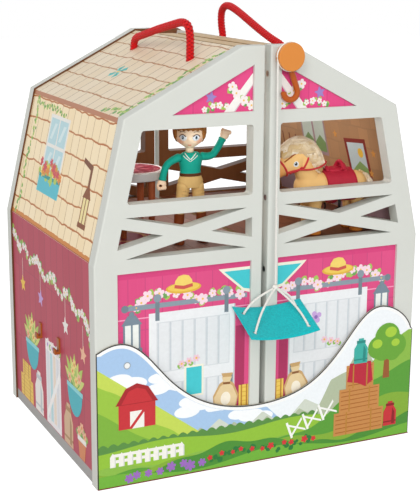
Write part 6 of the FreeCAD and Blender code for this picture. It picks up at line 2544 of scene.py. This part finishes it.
@dataclass
class Pony(Figure):
    """The saddled pony: smooth body, fur mane and tail, bridle and seat."""

    place: Point = (104.0, -88.3, STANDING_Z)
    barrel: Sequence[Point] = (
        (-36, 50, 13.5), (-22, 48, 16.5), (-2, 46.5, 16), (14.5, 48, 16.6), (21.5, 49, 14.3)
    )
    neck: Sequence[Point] = ((-32, 54, 12.8), (-39.5, 68, 11.0), (-43, 81, 9.4))
    head: Sequence[Point] = ((-42.5, 84.5, 9.0), (-51.5, 78, 11.6), (-62.5, 72.5, 9.6), (-71, 68.5, 8.0))
    mane: Sequence[Point] = (
        (-62, 87, 6.6), (-51, 93.5, 8.6), (-38.5, 91, 9.0), (-29, 80, 8.6), (-23, 67.5, 6.8)
    )
    tail: Sequence[Point] = ((31, 57, 4.0), (38, 50.5, 6.2), (41, 37, 6.2), (39, 22, 3.0))
    legs_x: Flat = (-30.0, 21.5)
    spread: float = 8.6
    mane_hairs: int = 560
    tail_hairs: int = 210
    outside: float = 40.0
    lock_hairs: int = 7
    hair_points: int = 12
    core_share: float = 0.88
    saddle_radius: float = 18.95
    saddle_z: float = 47.3
    girth_radius: float = 16.9
    girth_z: float = 46.8
    nose_radius: float = 12.0

    def limb(self, sections: Sequence[Point], depth: float = 1.0) -> Object:
        """A limb skinned through rings given as x, z and radius.

        Args:
            sections: The rings.
            depth: Its width across the pony, as a share of its height.

        Returns:
            The limb.
        """
        path = [self.at(x, 0, z) for x, z, _ in sections]
        radii = [(r * depth, r) for _, _, r in sections]
        limb = loft("limb", path, radii, 32, side=(0, 1, 0))
        ends = [ball("end", path[k], (radii[k][1], radii[k][0], radii[k][1]), 24) for k in (0, -1)]
        return join("limb", [limb, *ends])

    def build(self) -> None:
        """Build and place the pony's pieces."""
        body = self.body()
        self.fur("pony_mane", self.mane, self.mane_hairs, -1)
        self.fur("pony_tail", self.tail, self.tail_hairs, 1)
        self.bridle(body)
        self.saddle()
        self.shop.dress("pony_stirrups", Finishes.STIRRUP.material())

    def body(self) -> BVHTree:
        """The smooth body with ears, muzzle, eyes and hooves, and a search tree of its skin.

        Returns:
            The search tree.
        """
        forms = [self.limb(self.barrel), self.limb(self.neck, 0.92), self.limb(self.head, 0.88)]
        for name, x, z, size in (
            ("cheek", -52, 74.5, (9.6, 10.6, 9.6)), ("muzzle", -71.5, 67.8, (8.4, 8.2, 7.6)),
            ("rump", 19, 47, (15.5, 15.6, 16)), ("chest", -35, 44, (13.6, 13.4, 14.5)),
        ):
            forms.append(ball(name, self.at(x, 0, z), size, 28))
        for sign in (-1, 1):
            path = [
                self.at(x, sign * y, z) for x, y, z in ((-43.5, 6, 89), (-43.5, 7.5, 94), (-44.5, 8.2, 99))
            ]
            forms.append(loft("ear", path, [(2.6, 3.2), (1.9, 2.7), (0.6, 0.8)], 14, side=(0, 1, 0)))
            for x in self.legs_x:
                path = [self.at(x, sign * self.spread, z) for z in (40, 30, 22, 9.6)]
                forms.append(
                    loft("leg", path, [(8.0, 8.6), (6.8, 7.0), (5.8, 6.0), (5.6, 5.6)], 24, side=(0, 1, 0))
                )
        whole = melted(join("pony_skin", forms), 0.8, 9)
        tree = search_tree(whole.data)
        # Soft PVC coat: warm cream that turns orange at the muzzle.
        coat = ZonedFinish(
            "soft_pvc_palomino_coat", "EFC583", 0.46, "E8B76E", 26.0, 0.7, 1.0, 0.03,
            spots=((tuple(self.at(-76, 0, 65)), 12.5, 5.0, "E39A50"),),
        )
        parts = [painted(whole, coat)]
        # Soft PVC hoof: plain orange with a low shine.
        hoof = Finish("soft_pvc_orange_hoof", "E08A3A", 0.4, "CF7A2E", 5.0, 0.7, 0.8, 0.04)
        for sign in (-1, 1):
            for x in self.legs_x:
                rings = [self.at(x, sign * self.spread, z) for z in (0.0, 1.2, 7.8, 9.4)]
                radii = [(r, r) for r in (6.9, 7.4, 6.3, 5.6)]
                foot = loft("hoof", rings, radii, 28)
                for vertex in foot.data.vertices:
                    vertex.co.z = max(vertex.co.z, self.place[2] * MM)
                parts.append(painted(foot, hoof))
            spot, normal = self.skin_at(tree, -54.5, sign, 76.0)
            parts.append(lens("eye_white", spot, normal, 2.7, 2.8, 0.4, Finishes.EYE_WHITE))
            parts.append(lens("pupil", spot + normal * 0.2, normal, 1.85, 1.95, 0.4, Finishes.EYE_BLACK))
            # Painted highlight: a white dot at the pupil's upper side.
            glint = spot + normal * 0.62 + Vector((-0.7, 0, 0.8))
            parts.append(lens("glint", glint, normal, 0.5, 0.5, 0.2, Finishes.EYE_WHITE))
            spot, normal = self.skin_at(tree, -76.0, sign, 69.5, 4.0)
            parts.append(lens("nostril", spot, normal, 1.0, 0.8, 0.12, Finishes.BOOT))
        joined = join("pony_body_smooth", parts)
        self.shop.place(joined, "pony", "pony_coat", replaces=("pony_body",))
        return tree

    def skin_at(
        self, tree: BVHTree, x: float, sign: int, z: float, near: float | None = None
    ) -> tuple[Vector, Vector]:
        """The skin's point and direction at one side of the pony.

        Args:
            tree: The skin's search tree.
            x: Place along the pony.
            sign: Its side.
            z: Height.
            near: How far off the middle to look for the nearest skin, or None to look inwards from outside.

        Returns:
            The point in millimetres and the direction.
        """
        if near is None:
            start = self.at(x, sign * self.outside, z) * MM
            spot, normal, _, _ = tree.ray_cast(start, Vector((0, -sign, 0)))
        else:
            spot, normal, _, _ = tree.find_nearest(self.at(x, sign * near, z) * MM)
        if normal.y * sign < 0:
            normal = -normal
        return spot / MM, normal

    def fur(self, name: str, line: Sequence[Point], count: int, hand: int) -> None:
        """Tufts that flow along a thick line and lift a little at their tips.

        Args:
            name: The CAD node's name.
            line: The middle line's points as x, z and radius.
            count: How many hairs.
            hand: Which way the hair lies over, 1 or -1.
        """
        rng = random.Random(17 + count)
        radii = [r for _, _, r in line]
        last, line_mm = 59, 60
        middle = smooth_path([self.at(x, 0, z) for x, z, _ in line], last + 1)
        spans = np.linspace(0, 1, len(radii))
        base = loft(
            "base", middle[::4],
            [
                (float(np.interp(k / last, spans, radii)) * self.core_share,) * 2
                for k in range(0, last + 1, 4)
            ],
            28, side=(0, 1, 0),
        )
        ends = [ball("end", middle[k], (radii[k] * self.core_share,) * 3, 20) for k in (0, -1)]
        solid = melted(join("base", [base, *ends]), 0.8, 4)
        guides = []
        locks = [
            (
                -0.1 + 0.86 * (index * EVEN_STEPS[0] % 1), rng.uniform(0.28, 0.4),
                2 * math.pi * (index * EVEN_STEPS[1] % 1) - math.pi, rng.uniform(0, 6.28),
                rng.uniform(-0.3, 1.3),
            )
            for index in range(count // self.lock_hairs)
        ]
        for number in range(count):
            start, length, turn, phase, rise = locks[number // self.lock_hairs]
            slip, spread = rng.uniform(-0.03, 0.03), rng.uniform(-0.34, 0.34)
            lean = math.copysign(0.3, turn)
            guide = []
            for step in range(self.hair_points):
                along = step / (self.hair_points - 1)
                share = start + slip + length * along
                inside = max(0.0, min(1.0, share))
                k = inside * last
                low, high = int(k), min(last, int(k) + 1)
                centre = middle[low].lerp(middle[high], k - low)
                tangent = (middle[min(last, low + 1)] - middle[max(0, low - 1)]).normalized()
                centre = centre + tangent * (share - inside) * line_mm
                up = Vector((0, 1, 0)).cross(tangent) * -hand
                wave = math.sin(7.5 * along + phase)
                reach = float(np.interp(inside, spans, radii)) * 0.95 + rise + 1.2 * along**1.5 + 0.5 * wave
                reach *= 1 - 0.5 * max(0.0, abs(share - inside)) * 8
                angle = turn + spread * (1 - 0.75 * along**1.6) + lean * along + 0.27 * wave
                guide.append(centre + (up * math.cos(angle) + Vector((0, 1, 0)) * math.sin(angle)) * reach)
            guides.append(guide)
        fur = tufts("tufts", guides, 1.25, self.lock_hairs, NYLON_HAIR.material())
        # The core under the tufts carries the painted shade between the locks.
        whole = join(f"{name}_fur", [painted(solid, NYLON_SHADED_CORE), fur])
        self.shop.place(whole, "pony", "pony_hair", replaces=(name,))

    def hug(self, tree: BVHTree, points: Sequence[Point], lift: float) -> list[Vector]:
        """Draw a path onto the skin, a little above it.

        Args:
            tree: The skin's search tree.
            points: Control points.
            lift: How far it stays off the skin.

        Returns:
            The path in millimetres.
        """
        result = []
        for point in smooth_path([self.at(*p) for p in points], 26):
            spot, normal, _, _ = tree.find_nearest(point * MM)
            if (point * MM - spot).dot(normal) < 0:
                normal = -normal
            result.append(spot / MM + normal * lift)
        return result

    def bridle(self, tree: BVHTree) -> None:
        """Noseband, cheek straps, reins and the brown forehead strap.

        Args:
            tree: The skin's search tree.
        """
        parts = []
        ahead = Vector((-28.5, 0, -16)).normalized()
        middle = self.at(-65.5, 0, 71)
        ring = []
        for step in range(49):
            turn = 2 * math.pi * step / 48
            up = Vector((0, 1, 0)).cross(ahead)
            point = middle + (Vector((0, 1, 0)) * math.cos(turn) + up * math.sin(turn)) * self.nose_radius
            spot, _, _, _ = tree.ray_cast(point * MM, (middle - point).normalized())
            ring.append((spot / MM if spot else point) + (point - middle).normalized() * 0.5)
        parts.append(painted(loft("noseband", ring, 1.1, 10), Finishes.BRIDLE))
        for sign in (-1, 1):
            cheek = self.hug(
                tree,
                ((-37, sign * 12, 83.5), (-44, sign * 13, 73), (-52, sign * 12, 64), (-58, sign * 8, 62)),
                0.5,
            )
            parts.append(painted(loft("cheek_strap", cheek, 1.0, 10), Finishes.BRIDLE))
            side = self.hug(tree, ((-62, sign * 10, 65), (-57, sign * 11, 65.5), (-50, sign * 13, 68)), 0.6)
            rein = smooth_path(
                [
                    *side[::6], self.at(-40, sign * 14.6, 69.5), self.at(-27, sign * 12.5, 71),
                    self.at(-15, sign * 5, 74), self.at(-13.6, 0, 74.6),
                ],
                40,
            )
            parts.append(painted(loft("rein", rein, 1.0, 10), Finishes.BRIDLE))
            brown = self.hug(
                tree,
                (
                    (-67, sign * 8, 79), (-58, sign * 10, 86), (-51, sign * 10, 91), (-43, sign * 11, 88),
                    (-37, sign * 12, 83),
                ),
                0.35,
            )
            parts.append(painted(loft("forehead_strap", brown, 0.7, 8), Finishes.ABS_BROWN))
        self.shop.place(join("pony_bridle_straps", parts), "pony", "bridle", replaces=("pony_bridle",))

    def saddle(self) -> None:
        """Dress the saddle cloth and add its piping, seat and girth."""
        self.shop.dress("pony_saddle", Finishes.SADDLE.material())
        parts = []
        for x in (-18.9, 14.9):
            wide = self.saddle_radius
            arc = [
                self.at(x, wide * math.sin(t), self.saddle_z + wide * math.cos(t))
                for t in np.linspace(-2.25, 2.25, 40)
            ]
            parts.append(loft("piping", arc, 0.75, 8))
        seat = [ball("seat", self.at(-5, 0, 65.2), (11.5, 9.5, 3.6), 28)]
        for name, x, foot, rise, half, count, size in (
            ("cantle", 3.6, 65.5, 8.2, 9.2, 16, (2.4, 2.0)), ("pommel", -14.5, 64.8, 4.4, 7.5, 12, (2.0, 2.0))
        ):
            arch = [
                self.at(x, y, foot + rise * math.cos(y / half * 1.5)) for y in np.linspace(-half, half, count)
            ]
            seat.append(loft(name, arch, [size] * count, 16))
        parts.append(melted(join("seat", seat), 0.6, 5))
        wide = self.girth_radius
        ring = [
            self.at(-6.5, wide * math.sin(t), self.girth_z + wide * math.cos(t))
            for t in np.linspace(1.5, 4.78, 36)
        ]
        parts.append(loft("girth", ring, [(2.6, 0.7)] * 36, 14, side=(1, 0, 0)))
        for part in parts:
            painted(part, Finishes.SADDLE)
        self.shop.place(join("pony_saddle_trim", parts), "pony", "saddle_cloth")


@dataclass
class Table:
    """The round table's grey rim and red patterned top."""

    shop: Workshop
    middle: Point = (-101, -21.3, 299.3)
    rim: float = 31.5
    cloth: float = 29.5
    inner: float = 21.0
    ring: float = 25.2

    def build(self) -> None:
        """Dress the rim and print the top."""
        # Lacquered edge: even light grey.
        self.shop.dress(
            "table_top", Finish("grey_edge_lacquer", "C9C8C8", 0.4, "BDBCBC", 8.0, 0.6, 0.8, 0.03).material()
        )
        sheet = PrintSheet("table_top_print", Plane(self.middle, (1, 0, 0), (0, 1, 0)), box(-40, -40, 40, 40))
        sheet.shape(oval(0, 0, self.rim, self.rim, 72), "D9D3D2", 1)
        sheet.shape(oval(0, 0, self.cloth, self.cloth, 72), "7E1E34", 2)
        sheet.shape(oval(0, 0, self.inner, self.inner, 60), "8E2A3E", 3)
        for k in range(12):
            turn = 2 * math.pi * k / 12
            ring = Stamp(sheet, self.ring * math.cos(turn), self.ring * math.sin(turn), 3.2, turn, layer=4)
            ring.flower("C0727C", "6A1A2C", 5)
            petal = Stamp(sheet, 7 * math.cos(turn), 7 * math.sin(turn), 12.5, turn, layer=4)
            petal.put(leaf(0.16), ("6E1628", "B8606C")[k % 2])
        Stamp(sheet, 0, 0, 4.0, layer=5).flower("F0D6C8", "B83A50", 8)
        sheet.build(self.shop, "table", "table_print")


# Studio and camera


@dataclass(frozen=True)
class Studio:
    """The white table and the lights round it."""

    ambient: float = 0.5
    key: float = 20.0
    front: float = 1.25
    room: float = 0.13
    face: float = 0.004
    floor_z: float = -0.2
    room_z: float = 348.0
    sun_degrees: float = 14.0
    matt_share: float = 0.8
    glow: float = 1.3

    def build(self) -> None:
        """Build the floor, the world and the lights."""
        scene = bpy.context.scene
        scene.view_settings.view_transform = "Standard"
        world = bpy.data.worlds.new("white_studio")
        scene.world = world
        tree = cleared_tree(world)
        ray = add_node(tree, "LightPath")
        seen = add_node(
            tree, "Math", {0: ray.outputs["Is Camera Ray"], 1: ray.outputs["Is Glossy Ray"]},
            operation="MAXIMUM",
        )
        strength = add_node(tree, "MapRange", {"Value": seen, "To Min": self.ambient, "To Max": 1.0})
        sky = add_node(tree, "Background", {"Color": (1, 1, 1, 1), "Strength": strength})
        add_node(tree, "OutputWorld", {"Surface": sky})
        ground = [(x, y, self.floor_z) for x, y in box(-4000, -4000, 4000, 6000)]
        floor = mesh_object("studio_floor", ground, [(0, 1, 2, 3)])
        floor.data.materials.append(self.floor_material())
        lights = [
            self.light("AREA", "key_light", (-1500, -1900, 1900), (-30, 0, 180), self.key),
            self.light("SUN", "front_light", (-560, -1500, 640), (0, 0, 215), self.front),
        ]
        for x, y in ((-62, -20), (-62, 90), (62, -20), (62, 90)):
            lights.append(
                self.light("POINT", "room_light", (x, y, self.room_z), (x, y, FLOOR_TOP), self.room, 0.02)
            )
        lights.append(self.light("POINT", "face_light", (-60, -108, 337), (-60, -77, 343), self.face, 0.006))

    def floor_material(self) -> Material:
        """White to the camera, with the shadows kept faint.

        Returns:
            The material.
        """
        material = bpy.data.materials.new("white_table")
        tree = cleared_tree(material)
        ray = add_node(tree, "LightPath")
        share = add_node(
            tree, "Math", {0: ray.outputs["Is Camera Ray"], 1: self.matt_share}, operation="MULTIPLY"
        )
        matt = add_node(tree, "BsdfDiffuse", {"Color": (0.95, 0.95, 0.95, 1)})
        glow = add_node(tree, "Emission", {"Color": (1, 1, 1, 1), "Strength": self.glow})
        both = add_node(tree, "MixShader", {0: share, 1: matt, 2: glow})
        add_node(tree, "OutputMaterial", {"Surface": both})
        return material

    def light(
        self, kind: str, name: str, place: Point, target: Point, power: float, size: float = 0.9
    ) -> Object:
        """Add a soft light that looks at a point; lengths in millimetres, its size in metres.

        Args:
            kind: The light's type.
            name: Its name.
            place: Where it is.
            target: What it looks at.
            power: Its strength.
            size: Its size in metres.

        Returns:
            The light.
        """
        data = bpy.data.lights.new(name, kind)
        data.energy = power
        if kind == "AREA":
            data.size = size
        elif kind == "SUN":
            data.angle = math.radians(self.sun_degrees)
        else:
            data.shadow_soft_size = size
        obj = linked(name, data)
        obj.visible_camera = False
        obj.visible_glossy = False
        obj.location = Vector(place) * MM
        obj.rotation_euler = (Vector(target) - Vector(place)).to_track_quat("-Z", "Y").to_euler()
        return obj


@dataclass(frozen=True)
class Camera:
    """The camera, fitted to the corners of the barn in the photograph."""

    place: Point = (-552.374, -1170.621, 516.395)
    yaw: float = 25.216
    pitch_down: float = 13.821
    roll: float = 0.435
    lens: float = 58.03
    sensor: float = 24.0
    near: float = 0.01

    def build(self) -> None:
        """Place the camera and make it the scene's own."""
        yaw, pitch, roll = (math.radians(a) for a in (self.yaw, self.pitch_down, self.roll))
        ahead = Vector((math.sin(yaw) * math.cos(pitch), math.cos(yaw) * math.cos(pitch), -math.sin(pitch)))
        right = Vector((math.cos(yaw), -math.sin(yaw), 0))
        up = right.cross(ahead)
        turned = right * math.cos(roll) + up * math.sin(roll)
        raised = up * math.cos(roll) - right * math.sin(roll)
        data = bpy.data.cameras.new("photo_camera")
        data.sensor_fit = "VERTICAL"
        data.sensor_height = self.sensor
        data.lens = self.lens
        data.clip_start = self.near
        obj = linked("photo_camera", data)
        turn = Matrix((turned, raised, -ahead)).transposed().to_4x4()
        obj.matrix_world = Matrix.Translation(Vector(self.place) * MM) @ turn
        bpy.context.scene.camera = obj


def main() -> None:
    """Build the whole scene over the frame."""
    logging.basicConfig(level=logging.INFO, format="%(name)s: %(message)s")
    shop = Workshop(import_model())
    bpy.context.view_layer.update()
    Camera().build()
    Studio().build()
    Boards(shop).build()
    for side in Side:
        HalfPrints(shop, side).build()
    RoomPrints(shop).build()
    DisplayCard(shop).build()
    for side, route in ROPE_ROUTES.items():
        RopeHandle(shop, side, route).build()
    Hoist(shop).build()
    Doll(shop).build()
    Pony(shop).build()
    Table(shop).build()


if __name__ == "__main__":
    main()
